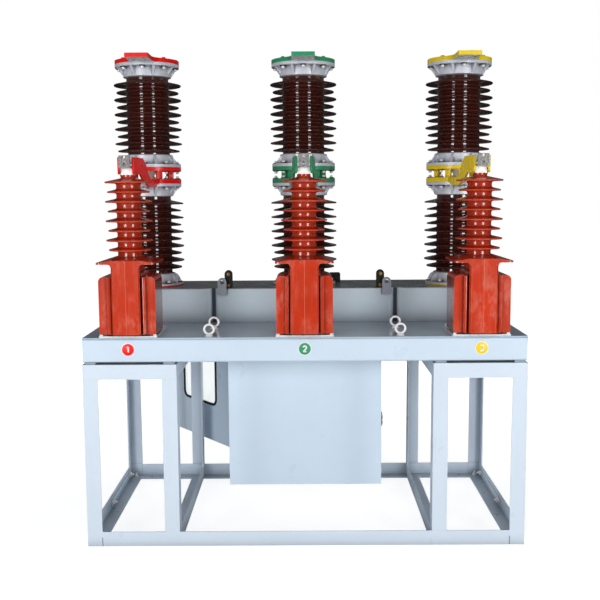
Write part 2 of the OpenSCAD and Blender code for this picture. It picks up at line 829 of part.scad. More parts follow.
// One post is a sector of the barrel, its angle counted from the arm.
module barrel_post(angle, arc) {
    far = 2 * barrel_r;
    intersection() {
        difference() {
            circle(r = barrel_r);
            circle(r = barrel_r - barrel_t);
        }
        rotate(angle) polygon([[0, 0], far * [sin(arc / 2), -cos(arc / 2)],
            far * [-sin(arc / 2), -cos(arc / 2)]]);
    }
}
module outlet_lantern(i) {
    post_h = lantern_h - (lantern_low_t + lantern_top_t) / 2;
    color(phase_colors[i - 1]) at_pole(i) translate([0, pole_y, lantern_z]) {
        lantern_ring(lantern_low_t);
        translate([0, 0, lantern_h - lantern_top_t]) lantern_ring(lantern_top_t);
        translate([0, 0, lantern_low_t / 2]) linear_extrude(post_h) both_x() {
            barrel_post(front_post_angle, front_post_arc);
            barrel_post(rear_post_angle, rear_post_arc);
        }
        arm_cheeks();
    }
}
// The fillet between the pad's side and the plate: it is tangent to both.
module pad_fillet() {
    hub_x = pad_w / 2 + pad_fillet_r;
    hub_y = -sqrt(pow(flange_r + pad_fillet_r, 2) - pow(hub_x, 2));
    touch = [hub_x, hub_y] * flange_r / (flange_r + pad_fillet_r);
    difference() {
        polygon([[pad_w / 2 - over, hub_y], [hub_x, hub_y], touch, [pad_w / 2 - over, touch[1]]]);
        translate([hub_x, hub_y]) circle(r = pad_fillet_r);
    }
}
module top_terminal(i) {
    color(phase_colors[i - 1]) at_pole(i) translate([0, pole_y, top_z]) difference() {
        union() {
            cylinder(r = flange_r, h = top_t);
            cylinder(r = boss_r, h = top_t + boss_h);
            translate([-pad_w / 2, -pad_reach, 0]) cube([pad_w, pad_reach, top_t]);
            both_x() linear_extrude(top_t) pad_fillet();
        }
        for (sx = [-1, 1], sy = [0, 1])
            translate([sx * pad_hole_gap / 2, -pad_reach + pad_hole_edge + sy * pad_hole_gap,
                -over]) cylinder(r = pad_hole_r, h = top_t + 2 * over);
    }
}
module drive_rods() {
    color("ivory") at_poles() translate([0, pole_y, lantern_z]) cylinder(r = rod_r, h = lantern_h);
}

// ---- current transformers ----

// Front view of the wings: rounded upper corners, and fillets beside the column.
module wings_front() {
    translate([-ct_w / 2, 0]) square([ct_w, ct_wing_h - ct_wing_r]);
    translate([-ct_w / 2 + ct_wing_r, 0]) square([ct_w - 2 * ct_wing_r, ct_wing_h]);
    for (s = [-1, 1])
        translate([s * (ct_w / 2 - ct_wing_r), ct_wing_h - ct_wing_r]) circle(r = ct_wing_r);
    both_x() translate([ct_column_w / 2, ct_wing_h]) difference() {
        translate([-over, -over]) square(ct_wing_fillet_r + over);
        translate([ct_wing_fillet_r, ct_wing_fillet_r]) circle(r = ct_wing_fillet_r);
    }
}
// Plan of the body's column: bevelled front edges, and a half round at the rear.
function column_plan() = let (x = ct_column_w / 2, y0 = -ct_wing_d / 2 - ct_column_out)
    concat([[-x, y0 + ct_bevel], [-x + ct_bevel, y0], [x - ct_bevel, y0], [x, y0 + ct_bevel]],
        [for (a = [0:10:180]) [x * cos(a), ct_body_ahead + x * sin(a)]]);
module ct_block() {
    translate([0, ct_wing_d / 2, 0]) rotate([90, 0, 0]) difference() {
        linear_extrude(ct_wing_d) wings_front();
        for (x = [-ct_column_w / 2 - ct_groove_w, ct_column_w / 2])
            translate([x, -over, ct_wing_d - ct_groove_d])
                cube([ct_groove_w, ct_wing_h + ct_wing_fillet_r + over, ct_groove_d + over]);
    }
    linear_extrude(ct_body_h + eps) polygon(column_plan());
}
// The column's head: its front face runs on over the skirt's edge and slopes back to the core.
module ct_brow() {
    x = ct_column_w / 2 - ct_bevel;
    front = ct_wing_d / 2 + ct_column_out + ct_body_ahead;
    edge = ct_skirt_t + ct_brow_h;
    top = ct_skirt_t + ct_skirt_rise;
    intersection() {
        rotate([90, 0, 90]) translate([0, 0, -x]) linear_extrude(2 * x)
            polygon([[-front, -eps], [-front, edge - ct_bevel / 2], [-front + ct_bevel / 2, edge],
                [-ct_core_r, top], [0, top], [0, -eps]]);
        rotate([90, 0, 0]) linear_extrude(front + over)
            polygon([[-x, -over], [x, -over], [x, edge - ct_bevel], [x - ct_bevel, edge],
                [ct_brow_w / 2, top + over], [-ct_brow_w / 2, top + over], [-x + ct_bevel, edge],
                [-x, edge - ct_bevel]]);
    }
}
module ct_skirt() {
    // A square skirt that rises from its thin edge to the round core.
    hull() {
        for (sx = [-1, 1], sy = [-1, 1])
            translate([sx * (ct_skirt_w / 2 - ct_skirt_r), sy * (ct_skirt_d / 2 - ct_skirt_r), 0])
                cylinder(r = ct_skirt_r, h = ct_skirt_t, $fn = 32);
        cylinder(r = ct_skirt_top_r, h = ct_skirt_t + ct_skirt_rise, $fn = 32);
    }
}
// The shed column, whose top shed runs on up to the narrow cap.
module ct_stack() {
    shed_column(ct_stack_h + ct_cap_h, ct_core_r, ct_cap_r, ct_shed_r, ct_small_shed_r,
        [ct_lip_r, ct_shed_rise, ct_shed_under, ct_root_r], ct_shed_pairs,
        ct_shed_top + ct_cap_h, ct_shed_pitch);
}
module ct_body(i) {
    foot_x = ct_w / 2 - ct_foot_edge;
    foot_y = ct_wing_d / 2 - ct_foot_edge;
    color("orangered") at_pole(i) translate([0, -ct_y, ct_z]) {
        translate([0, -ct_body_ahead, 0]) {
            ct_block();
            for (sx = [-1, 1], sy = [-1, 1]) translate([sx * foot_x, sy * foot_y, -ct_foot_h])
                cylinder(r = ct_foot_r, h = ct_foot_h + over);
        }
        translate([0, 0, ct_body_h]) {
            ct_brow();
            ct_skirt();
            ct_stack();
        }
    }
}
// A bare block on the cap, and on it the foot of the upright contact pad with its two holes.
module ct_terminal() {
    block_w = arm_gap - 2 * ct_block_clear;
    translate([-block_w / 2, -ct_block_d / 2, 0]) cube([block_w, ct_block_d, ct_block_h]);
    translate([-outlet_pad_w / 2, -outlet_reach, ct_block_h]) {
        cube([outlet_pad_w, outlet_reach + ct_block_d / 2, outlet_foot_t]);
        difference() {
            cube([outlet_pad_w, outlet_pad_t, outlet_pad_h]);
            for (k = [0, 1])
                translate([outlet_pad_w / 2, -over, outlet_hole_z + k * outlet_hole_gap])
                    rotate([-90, 0, 0]) cylinder(r = outlet_hole_r, h = outlet_pad_t + 2 * over);
        }
    }
}
module ct_terminals() {
    color("silver") at_poles() translate([0, -ct_y, ct_top_z]) ct_terminal();
}
module ct_base_plates() {
    color("white") at_poles()
        translate([-ct_plate_w / 2, -ct_y - ct_plate_d / 2 + ct_plate_back, deck_top])
            cube([ct_plate_w, ct_plate_d, ct_plate_t]);
}

// ---- mechanism box ----

// Section of a panel along its depth, with a lip turned inwards at the open rear.
module lipped_section() {
    depth = box_depth - box_t;
    square([box_t, depth]);
    translate([0, depth - box_t]) square([box_lip, box_t]);
}
module box_side_panels() {
    color(steel) both_x() translate([-box_w / 2, box_y + box_t, box_z + box_t])
        linear_extrude(box_h - 2 * box_t) lipped_section();
}
module box_front_panel() {
    color(steel) translate([-box_w / 2, box_y, box_z]) cube([box_w, box_t, box_h]);
}
module box_roof_and_floor() {
    lip_x = box_w / 2 - box_lip;
    color(steel) for (top = [0, 1]) translate([0, 0, beam_z - box_h / 2]) mirror([0, 0, top])
        translate([0, box_y + box_t, -box_h / 2]) {
            translate([-box_w / 2, 0, 0]) cube([box_w, box_depth - box_t, box_t]);
            translate([-lip_x, box_depth - 2 * box_t, 0]) cube([2 * lip_x, box_t, box_lip]);
        }
}
module box_latch() {
    round_r = latch_w / 2;
    color("#202020") translate([box_w / 2, box_y + latch_y, box_z + latch_z])
        rotate([90, 0, 90]) linear_extrude(latch_t) {
            square([latch_w, latch_h - latch_w], center = true);
            for (s = [-1, 1]) translate([0, s * (latch_h / 2 - round_r)]) circle(r = round_r);
        }
}
module at_hinge_heights() {
    for (z = [hinge_edge, door_h - hinge_edge - 2 * knuckle_h]) translate([0, 0, z]) children();
}
module box_hinges() {
    leaf_x = knuckle_r - leaf_t;
    leaf_back = leaf_len + door_gap + door_t;
    color("gray") translate([hinge_x, hinge_y, box_z]) at_hinge_heights() {
        cylinder(r = knuckle_r, h = knuckle_h);
        cylinder(r = pin_r, h = 2 * knuckle_h + 2 * knuckle_gap);
        translate([leaf_x, -leaf_back, 0]) cube([leaf_t, leaf_back, knuckle_h]);
    }
}

// ---- door ----

// The door's own frame: its outer face is the plane y = 0, and x runs from the hinge axis.
module at_door() {
    translate([hinge_x, hinge_y, box_z]) rotate([0, 0, door_open]) children();
}
module upright(y, depth) {
    // Extrudes a front view of the door from y towards the box.
    translate([0, y, 0]) rotate([90, 0, 0]) linear_extrude(depth) children();
}
module window_outline(grow) {
    r = window_r + grow;
    w = window_w + 2 * grow;
    h = window_h + 2 * grow;
    translate([window_x - grow, window_z - grow]) {
        translate([r, 0]) square([w - 2 * r, h]);
        translate([0, r]) square([w, h - 2 * r]);
        for (x = [r, w - r], y = [r, h - r]) translate([x, y]) circle(r = r);
    }
}
module door_leaf() {
    inner_w = door_w - 2 * door_skin;
    inner_h = door_h - 2 * door_skin;
    color(steel) at_door() difference() {
        translate([door_start, -door_t, 0]) cube([door_w, door_t, door_h]);
        translate([door_start + door_skin, -door_t - over, door_skin])
            cube([inner_w, door_t - door_skin + over, inner_h]);
        upright(over, door_t) window_outline(0);
    }
}
module door_window() {
    color("lightblue") at_door() upright(-door_skin, pane_t) window_outline(gasket_w - over);
}
module door_gasket() {
    color("#202020") at_door() difference() {
        upright(gasket_out, gasket_out) window_outline(gasket_w);
        upright(gasket_out + over, gasket_out + 2 * over) window_outline(-gasket_in);
    }
}
module door_hinges() {
    color("gray") at_door() at_hinge_heights() translate([0, 0, knuckle_h + knuckle_gap])
        difference() {
            union() {
                cylinder(r = knuckle_r, h = knuckle_h);
                cube([door_start + leaf_len, leaf_t, knuckle_h]);
            }
            translate([0, 0, -over]) cylinder(r = pin_r + pin_clear, h = knuckle_h + 2 * over);
        }
}
module door_handle() {
    // A bow handle: two feet on the door and a bar between them.
    color("#202020") at_door()
        translate([door_start + door_w - handle_edge - handle_w / 2, 0, (door_h - handle_h) / 2])
            difference() {
                cube([handle_w, handle_out, handle_h]);
                translate([-over, -over, handle_foot]) cube([handle_w + 2 * over,
                    handle_out - handle_bar + over, handle_h - 2 * handle_foot]);
            }
}

// ---- spring drive inside the box ----

// A flat link with round ends, from the origin to a pin above it.
module link(width, length, thick) {
    linear_extrude(thick) {
        for (y = [0, length]) translate([0, y]) circle(r = width / 2);
        translate([-width / 2, 0]) square([width, length]);
    }
}
module side_plate() {
    rotate([90, 0, 90]) linear_extrude(plate_t) difference() {
        square([plate_d, plate_h]);
        translate([plate_d / 2, shaft_up]) circle(r = shaft_r + pin_clear);
        for (s = [-1, 1]) translate([plate_d / 2 + s * plate_d / 4, plate_h - plate_d / 4])
            circle(r = plate_hole_r);
    }
}
module mechanism_plates() {
    inner = plate_gap / 2;
    color("silver") {
        for (x = [-inner - plate_t, inner]) translate([x, plate_front, plate_low]) side_plate();
        for (y = [tie_edge, plate_d - tie_edge], z = [tie_edge, plate_h - tie_edge])
            translate([-inner - over, plate_front + y, plate_low + z])
                rotate([0, 90, 0]) cylinder(r = tie_r, h = plate_gap + 2 * over);
        // Pins that the springs' lower eyes hang on.
        both_x() translate([inner + plate_t - over, shaft_y, anchor_z])
            rotate([0, 90, 0]) cylinder(r = hook_r, h = spring_out + spring_eye_t);
    }
}
// The ratchet wheel's teeth lean one way.
function ratchet_points() = [for (k = [0:ratchet_teeth - 1]) each
    let (a = k * 360 / ratchet_teeth, b = a + 300 / ratchet_teeth, root = ratchet_r - tooth_h)
    [[root * cos(a), root * sin(a)], [ratchet_r * cos(b), ratchet_r * sin(b)]]];
// The cam's radius grows evenly over most of a turn and then drops back.
function cam_points() = [for (a = [0:10:350])
    let (r = cam_r + cam_lift * min(a / 300, (360 - a) / 60))
    [r * cos(a), r * sin(a)]];
module mechanism_shaft() {
    crank_x = plate_gap / 2 + plate_t + crank_gap;
    color("gray") translate([0, shaft_y, shaft_level]) {
        rotate([90, 0, 90]) {
            translate([0, 0, -crank_x - crank_t])
                cylinder(r = shaft_r, h = 2 * (crank_x + crank_t));
            translate([0, 0, -plate_gap / 4]) linear_extrude(ratchet_t) polygon(ratchet_points());
            translate([0, 0, plate_gap / 4]) linear_extrude(ratchet_t) polygon(cam_points());
        }
        // A crank at each end, with the pin that draws its closing spring.
        both_x() translate([crank_x, 0, 0]) rotate([90, 0, 90]) {
            link(2 * (shaft_r + crank_wall), crank_len, crank_t);
            translate([0, crank_len, crank_t - over])
                cylinder(r = hook_r, h = spring_out + spring_eye_t - crank_gap - crank_t + over);
        }
    }
}
// A coiled spring on its core, hung by an eye at each end.
module closing_spring(length) {
    eye_r = hook_r + spring_eye_wall;
    coil = length - 2 * eye_r;
    pitch = coil / spring_turns;
    core = spring_r - 2 * wire_r;
    translate([0, 0, eye_r]) rotate_extrude() {
        square([core + over, coil]);
        for (k = [0:spring_turns - 1])
            translate([spring_r - wire_r, (k + 0.5) * pitch]) circle(r = wire_r, $fn = 24);
    }
    for (z = [0, length]) translate([-spring_eye_t / 2, 0, z]) rotate([0, 90, 0]) difference() {
        cylinder(r = eye_r + over, h = spring_eye_t);
        translate([0, 0, -over]) cylinder(r = hook_r + pin_clear, h = spring_eye_t + 2 * over);
    }
}
module mechanism_springs() {
    color("#303030") both_x() translate([plate_gap / 2 + plate_t + spring_out, shaft_y, anchor_z])
        closing_spring(shaft_level + crank_len - anchor_z);
}
module charging_motor() {
    color("gray") translate([-gearbox_w, shaft_y - gearbox_w / 2, box_z + box_t]) {
        cube([gearbox_w, gearbox_w, 2 * (motor_r + motor_foot)]);
        translate([gearbox_w - over, gearbox_w / 2, motor_r + motor_foot]) rotate([0, 90, 0])
            cylinder(r = motor_r, h = motor_len + over);
        translate([gearbox_w, gearbox_w / 2 - motor_r / 2, 0])
            cube([motor_len, motor_r, motor_foot + over]);
    }
}
module terminal_strip() {
    // A rail on the box's left wall with a row of terminals on it.
    length = strip_count * strip_pitch;
    color("beige") translate([-box_w / 2 + box_t, strip_y, box_z + (box_h - length) / 2]) {
        cube([rail_t, rail_w, length]);
        for (k = [0:strip_count - 1])
            translate([rail_t - over, (rail_w - terminal_d) / 2,
                (k + 0.5) * strip_pitch - terminal_w / 2])
                cube([terminal_d, terminal_d, terminal_w]);
    }
}

legs();
bottom_long_rails();
bottom_side_rails();
top_long_rails();
top_side_rails();
packing_plates();
long_beams();
cross_members();
deck_plate();
drive_housing();
lifting_lugs();
eye_bolts();
black_straps();
vent_block();
hubs(1);  // hubs_1
hubs(2);  // hubs_2
hubs(3);  // hubs_3
lower_porcelain(1);  // lower_porcelain_1
lower_porcelain(2);  // lower_porcelain_2
lower_porcelain(3);  // lower_porcelain_3
upper_porcelain(1);  // upper_porcelain_1
upper_porcelain(2);  // upper_porcelain_2
upper_porcelain(3);  // upper_porcelain_3
outlet_lantern(1);  // outlet_lantern_1
outlet_lantern(2);  // outlet_lantern_2
outlet_lantern(3);  // outlet_lantern_3
top_terminal(1);  // top_terminal_1
top_terminal(2);  // top_terminal_2
top_terminal(3);  // top_terminal_3
drive_rods();
ct_body(1);  // ct_body_1
ct_body(2);  // ct_body_2
ct_body(3);  // ct_body_3
ct_terminals();
ct_base_plates();
box_side_panels();
box_front_panel();
box_roof_and_floor();
box_latch();
box_hinges();
mechanism_plates();
mechanism_shaft();
mechanism_springs();
charging_motor();
terminal_strip();
door_leaf();
door_window();
door_gasket();
door_hinges();
door_handle();
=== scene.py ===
"""Outdoor vacuum circuit breaker: the finish of every CAD piece, and its bolts, welds and trim."""
import json
import bmesh
import bpy
import numpy as np
from mathutils import Matrix, Vector


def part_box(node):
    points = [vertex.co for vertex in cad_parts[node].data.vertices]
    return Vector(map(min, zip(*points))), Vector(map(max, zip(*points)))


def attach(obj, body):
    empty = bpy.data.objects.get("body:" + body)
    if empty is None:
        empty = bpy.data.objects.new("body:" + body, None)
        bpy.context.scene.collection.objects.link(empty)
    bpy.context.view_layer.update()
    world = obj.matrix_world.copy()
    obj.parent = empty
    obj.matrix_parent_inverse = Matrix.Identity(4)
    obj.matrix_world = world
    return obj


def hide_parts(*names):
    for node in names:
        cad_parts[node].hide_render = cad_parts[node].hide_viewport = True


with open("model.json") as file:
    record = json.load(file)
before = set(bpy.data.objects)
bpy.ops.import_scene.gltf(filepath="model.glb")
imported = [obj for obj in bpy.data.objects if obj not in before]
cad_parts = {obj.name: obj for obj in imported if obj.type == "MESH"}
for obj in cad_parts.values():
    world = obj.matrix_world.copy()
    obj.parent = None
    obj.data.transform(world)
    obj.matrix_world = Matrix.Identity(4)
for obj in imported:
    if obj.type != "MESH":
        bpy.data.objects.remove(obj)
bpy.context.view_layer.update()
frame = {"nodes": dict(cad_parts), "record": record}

# ---- view and studio ----
# The camera stands in front at chest height and looks slightly down. The lens is a short
# telephoto, and the view leans by a third of a degree.
yaw, pitch, roll = -0.0041076, 0.118988, -0.0062638
ahead = Vector((np.sin(yaw) * np.cos(pitch), np.cos(yaw) * np.cos(pitch), -np.sin(pitch)))
level = Vector((np.cos(yaw), -np.sin(yaw), 0))
above = level.cross(ahead)
right = np.cos(roll) * level + np.sin(roll) * above
upward = -np.sin(roll) * level + np.cos(roll) * above
camera = bpy.data.objects.new("camera", bpy.data.cameras.new("camera"))
camera.data.lens = 54.135
camera.data.sensor_width = 36
camera.matrix_world = (Matrix.Translation((-0.00335, -3.9794, 1.4234))
                       @ Matrix((right, upward, -ahead)).transposed().to_4x4())
bpy.context.scene.collection.objects.link(camera)
bpy.context.scene.camera = camera
bpy.context.scene.view_settings.view_transform = "Standard"

# Two tall soft boxes stand in front, to the left and right of the camera, and give the glaze
# its pairs of bright spots. Two low lamps further round light the stand, a broad lamp fills in
# from behind the camera, and two more keep the back readable. Each row: place, width and
# height, watts, shows in gloss.
studio = {
    "side_left": ((-3.5, -2.35, 0.40), (0.5, 0.7), 20, False),
    "side_right": ((3.5, -2.35, 0.40), (0.5, 0.7), 20, False),
    "key_left": ((-2.45, -3.55, 1.4), (1.1, 2.0), 57, True),
    "key_right": ((2.45, -3.55, 1.4), (1.1, 2.0), 57, True),
    "fill": ((0, -5.4, 1.2), (3.4, 2.0), 46, False),
    "back_left": ((-1.9, 4.3, 2.0), (1.4, 1.8), 52, False),
    "back_right": ((1.9, 4.3, 2.0), (1.4, 1.8), 52, False),
}
for name, (place, (width, height), watts, gloss) in studio.items():
    lamp = bpy.data.lights.new(name, "AREA")
    lamp.shape = "RECTANGLE"
    lamp.size = width
    lamp.size_y = height
    lamp.energy = watts
    tripod = bpy.data.objects.new(name, lamp)
    tripod.location = place
    aim_at = Vector((0, 0, 1.05)) - Vector(place)
    tripod.rotation_euler = aim_at.to_track_quat("-Z", "Y").to_euler()
    tripod.visible_camera = False
    tripod.visible_glossy = gloss
    bpy.context.scene.collection.objects.link(tripod)


class Nodes:
    """Writes a node tree: add() makes a node with its inputs set or linked, by name or number."""

    def __init__(self, tree):
        self.tree = tree
        tree.nodes.clear()

    def add(self, kind, _out=0, _set=None, **inputs):
        """One node: its settings, its inputs, and the output wanted, or the node for None."""
        node = self.tree.nodes.new("ShaderNode" + kind)
        for key, value in (_set or {}).items():
            setattr(node, key, value)
        for key, value in inputs.items():
            number = key[0] == "i" and key[1:].isdigit()
            socket = node.inputs[int(key[1:]) if number else key.replace("_", " ")]
            if isinstance(value, bpy.types.NodeSocket):
                self.tree.links.new(value, socket)
            else:
                socket.default_value = value
        return node.outputs[_out] if isinstance(_out, (int, str)) else node

    def math(self, what, a, b=0.0):
        """One sum on two values."""
        return self.add("Math", _set={"operation": what}, i0=a, i1=b)

    def ramp(self, value, low, high, to_low=0.0, to_high=1.0):
        """A value carried evenly from one range to another, and held at its ends."""
        return self.add("MapRange", _out="Result", Value=value, i1=low, i2=high, i3=to_low,
                        i4=to_high)

    def blend(self, share, a, b):
        """Two colours mixed: b takes the share, a the rest."""
        return self.add("Mix", _out=2, _set={"data_type": "RGBA"}, i0=share, i6=a, i7=b)


# White all round for the eye and for glass; metal and gloss see it dimmed, as the real studio's
# walls are grey, and the object gets a low even light from it.
world = bpy.data.worlds.new("studio")
bpy.context.scene.world = world
world.use_nodes = True
sky = Nodes(world.node_tree)
rays = sky.add("LightPath", _out=None)
seen = sky.math("MAXIMUM", rays.outputs["Is Camera Ray"], rays.outputs["Is Transmission Ray"])
shine = sky.math("MULTIPLY", rays.outputs["Is Glossy Ray"], 0.06)
strength = sky.math("MAXIMUM", sky.math("MAXIMUM", seen, shine), 0.09)
sky.add("OutputWorld", _out=None,
        Surface=sky.add("Background", Color=(1, 1, 1, 1), Strength=strength))

# A pale studio floor, which shows white to the eye and keeps the object's soft shadow.
floor = bpy.data.meshes.new("floor")
reach = 30
floor.from_pydata([(-reach, -reach, 0), (reach, -reach, 0), (reach, reach, 0), (-reach, reach, 0)],
                  [], [(0, 1, 2, 3)])
floor_object = bpy.data.objects.new("floor", floor)
bpy.context.scene.collection.objects.link(floor_object)
pale = bpy.data.materials.new("pale_floor")
pale.use_nodes = True
ground = Nodes(pale.node_tree)
rays = ground.add("LightPath", _out=None)
seen = ground.math("MAXIMUM", rays.outputs["Is Camera Ray"], rays.outputs["Is Transmission Ray"])
away = ground.add("VectorMath", _out="Value", _set={"operation": "LENGTH"},
                  i0=ground.add("TexCoord", _out="Object"))
lift = ground.math("MULTIPLY", seen, ground.ramp(away, 1.2, 3.0, 0.80, 1.0))
matt = ground.blend(rays.outputs["Is Glossy Ray"], (0.5, 0.5, 0.5, 1), (0.12, 0.12, 0.12, 1))
ground.add("OutputMaterial", _out=None, Surface=ground.add(
    "AddShader", i0=ground.add("BsdfDiffuse", Color=matt),
    i1=ground.add("Emission", Color=(1, 1, 1, 1), Strength=lift)))
floor.materials.append(pale)

# ---- stand of painted angle iron ----
# Angle bars welded into two end frames and joined by long rails, then sprayed a pale blue-grey.
# The satin paint has a fine orange peel, cloudy gloss and a thinner film along the edges. Painted
# shade darkens its corners and the faces that look up, such as the flanges.
nodes = frame["nodes"]
mm = 0.001
TAU = 2 * np.pi


def tone(red, green, blue):
    """A shader colour from values of 0 to 255 as the eye reads them: each channel's sRGB curve."""
    c = np.array((red, green, blue)) / 255
    c = np.where(c <= 0.04045, c / 12.92, ((c + 0.055) / 1.055) ** 2.4)
    return (*c.tolist(), 1.0)


def finish(name, colour, roughness, metal=0.0, cloud=(6, 0.05), gloss=(14, 0.08),
           grain=(350, 0.15), peel=None, edge=None, corner_shade=None, top_shade=None, streak=None,
           specks=None, layer=None, stretch=(1, 1, 1), **shader):
    """A procedural finish on Object coordinates, each layer a noise shifted to its own range.
    cloud: scale and depth of a broad change in the colour; gloss: scale and depth of a change in
    the roughness; grain: scale and height in mm of the fine relief; peel: the same for a wider one;
    edge: radius in mm of the rounded edges, the colour painted along them and its strength, worn
    thin paint where it is darker and a painted highlight where it is paler; corner_shade: colour,
    strength and reach of painted shade in corners and hollows, from an occlusion mask; top_shade:
    colour and strength of painted shade, in patches, on faces that look up; streak: colour,
    strength and scale of upright runs; specks: colour, strength, scale and share of small spots;
    layer: a function of this piece's own that recolours the base."""
    material = bpy.data.materials.new(name)
    material.use_nodes = True
    n = Nodes(material.node_tree)
    spot = n.add("TexCoord", _out=None)
    place = n.add("Mapping", Vector=spot.outputs["Object"], Scale=stretch)
    broad = n.add("TexNoise", Vector=place, Scale=cloud[0], Detail=5, Roughness=0.6)
    shade = n.ramp(broad, 0.3, 0.7, 1 - cloud[1], 1 + cloud[1])
    base = n.add("VectorMath", _out="Vector", _set={"operation": "SCALE"}, i0=colour[:3],
                 Scale=shade)
    if layer:
        base = layer(n, spot, base)
    if streak:
        runs = n.add("Mapping", Vector=spot.outputs["Object"], Scale=(1, 1, 0.06))
        run = n.add("TexNoise", Vector=runs, Scale=streak[2], Detail=3, Roughness=0.7)
        base = n.blend(n.ramp(run, 0.52, 0.75, 0.0, streak[1]), base, streak[0])
    if specks:
        cells = n.add("TexVoronoi", Vector=place, Scale=specks[2])
        where = n.add("TexNoise", Vector=place, Scale=specks[2] * 0.13, Detail=2)
        size = n.ramp(where, 0.5, 0.75, 0.0, specks[3])
        inside = n.math("MULTIPLY", n.math("LESS_THAN", cells, size), specks[1])
        base = n.blend(inside, base, specks[0])
    # Painted shade: faces that look up are darkened, in patches.
    if top_shade:
        up = n.add("SeparateXYZ", _out=2, Vector=spot.outputs["Normal"])
        top_patches = n.add("TexNoise", Vector=place, Scale=9, Detail=4)
        base = n.blend(n.math("MULTIPLY", n.ramp(up, 0.6, 0.95, 0.0, top_shade[1]),
                              n.ramp(top_patches, 0.25, 0.6, 0.75, 1.0)), base, top_shade[0])
    # Painted shade: an occlusion mask darkens the colour in corners and hollows.
    if corner_shade:
        corners = n.add("AmbientOcclusion", _out="AO", _set={"samples": 4}, Distance=corner_shade[2])
        base = n.blend(n.ramp(corners, 0.85, 0.25, 0.0, corner_shade[1]), base, corner_shade[0])
    patch = n.add("TexNoise", Vector=place, Scale=gloss[0], Detail=3)
    sheen = n.ramp(patch, 0.3, 0.7, max(roughness - gloss[1], 0.02), roughness + gloss[1])
    around = {}
    # The colour along rounded edges is painted: worn, thin paint where it is darker, a painted
    # highlight where it is paler.
    if edge:
        round_off = n.add("Bevel", _set={"samples": 4}, Radius=edge[0] * mm)
        flat = n.add("NewGeometry", _out="Normal")
        turn = n.add("VectorMath", _out="Value", _set={"operation": "DOT_PRODUCT"},
                     i0=round_off, i1=flat)
        edge_patches = n.add("TexNoise", Vector=place, Scale=90, Detail=4, Roughness=0.7)
        rim = n.math("MULTIPLY", n.ramp(turn, 0.995, 0.93, 0.0, edge[2]),
                     n.ramp(edge_patches, 0.4, 0.6, 0.35, 1.0))
        base = n.blend(rim, base, edge[1])
        around = {"Normal": round_off}
    fine = n.add("TexNoise", Vector=place, Scale=grain[0], Detail=2)
    relief = n.add("Bump", Height=fine, Distance=grain[1] * mm, Strength=1.0, **around)
    if peel:
        wave = n.add("TexNoise", Vector=place, Scale=peel[0], Detail=2)
        relief = n.add("Bump", Height=wave, Distance=peel[1] * mm, Strength=1.0, Normal=relief)
    skin = n.add("BsdfPrincipled", _out=None, Base_Color=base, Roughness=sheen, Metallic=metal,
                 Normal=relief)
    for key, value in shader.items():
        skin.inputs[key.replace("_", " ")].default_value = value
    n.add("OutputMaterial", _out=None, Surface=skin.outputs[0])
    return material


def coat(material, *names):
    """Gives CAD nodes their finish in every material slot."""
    for name in names:
        for slot in nodes[name].material_slots:
            slot.material = material


def sheet(points, wrap_u=False, wrap_v=False):
    """Vertices and quads of a grid of points: a quad joins each point to the next along both
    parameters, and the last row or column to the first where it wraps."""
    nu, nv = points.shape[:2]
    index = np.arange(nu * nv).reshape(nu, nv)
    i = np.arange(nu if wrap_u else nu - 1)[:, None]
    j = np.arange(nv if wrap_v else nv - 1)[None, :]
    i2, j2 = (i + 1) % nu, (j + 1) % nv
    quads = np.stack([index[i, j], index[i2, j], index[i2, j2], index[i, j2]], -1)
    return points.reshape(-1, 3), quads.reshape(-1, 4)


def lathe(radius, height, sides=48, outline=None):
    """A surface of revolution round Z: at each angle and row the point lies at the row's radius,
    times the outline's share at that angle where there is an outline."""
    angle = np.arange(sides) / sides * TAU
    radius, height = np.asarray(radius, float), np.asarray(height, float)
    r = radius[None, :] * (np.ones((sides, 1)) if outline is None else outline(angle))
    return sheet(np.stack([r * np.cos(angle)[:, None], r * np.sin(angle)[:, None],
                           np.broadcast_to(height, r.shape)], -1), wrap_u=True)


def hex_bolt(flats, head, washer, shank=0.0):
    """A washer, a hexagonal head with a turned top, and a threaded end above it where shank is
    not 0. The head's outline is a hexagon: half the flats over the cosine of the angle from
    the nearest flat."""
    def outline(angle):
        """The share of each row's radius at an angle: round, but hexagonal along the head."""
        corner = 1 / np.cos((angle + TAU / 12) % (TAU / 6) - TAU / 12)
        return np.stack([np.ones_like(angle)] * 4 + [corner] * 2 + [np.ones_like(angle)] * 5, 1)
    t = 0.14 * flats
    half = flats / 2
    top = t + head
    end = top + shank
    return lathe([0, washer, washer, half * 1.2, half, half, half * 0.96, half * 0.5,
                  half * 0.5, half * 0.42, 0],
                 [0, 0, t * 0.8, t, t, top - head * 0.12, top, top, end, end + head * 0.05, end],
                 12, outline)


def aim(way):
    """The turn that takes +Z to a direction."""
    return np.array(Vector(way).to_track_quat("Z", "X").to_matrix())


def spread(part, places, way=(0, 0, 1)):
    """Copies of a part at many places, all turned the same way: each point is turned, then
    moved, and each copy's faces count on from the last one's."""
    points, faces = part
    places = np.asarray(places, float).reshape(-1, 3)
    turned = points @ aim(way).T
    moved = turned[None] + places[:, None]
    shift = np.arange(len(places))[:, None, None] * len(points)
    return moved.reshape(-1, 3), (faces[None] + shift).reshape(-1, faces.shape[1])


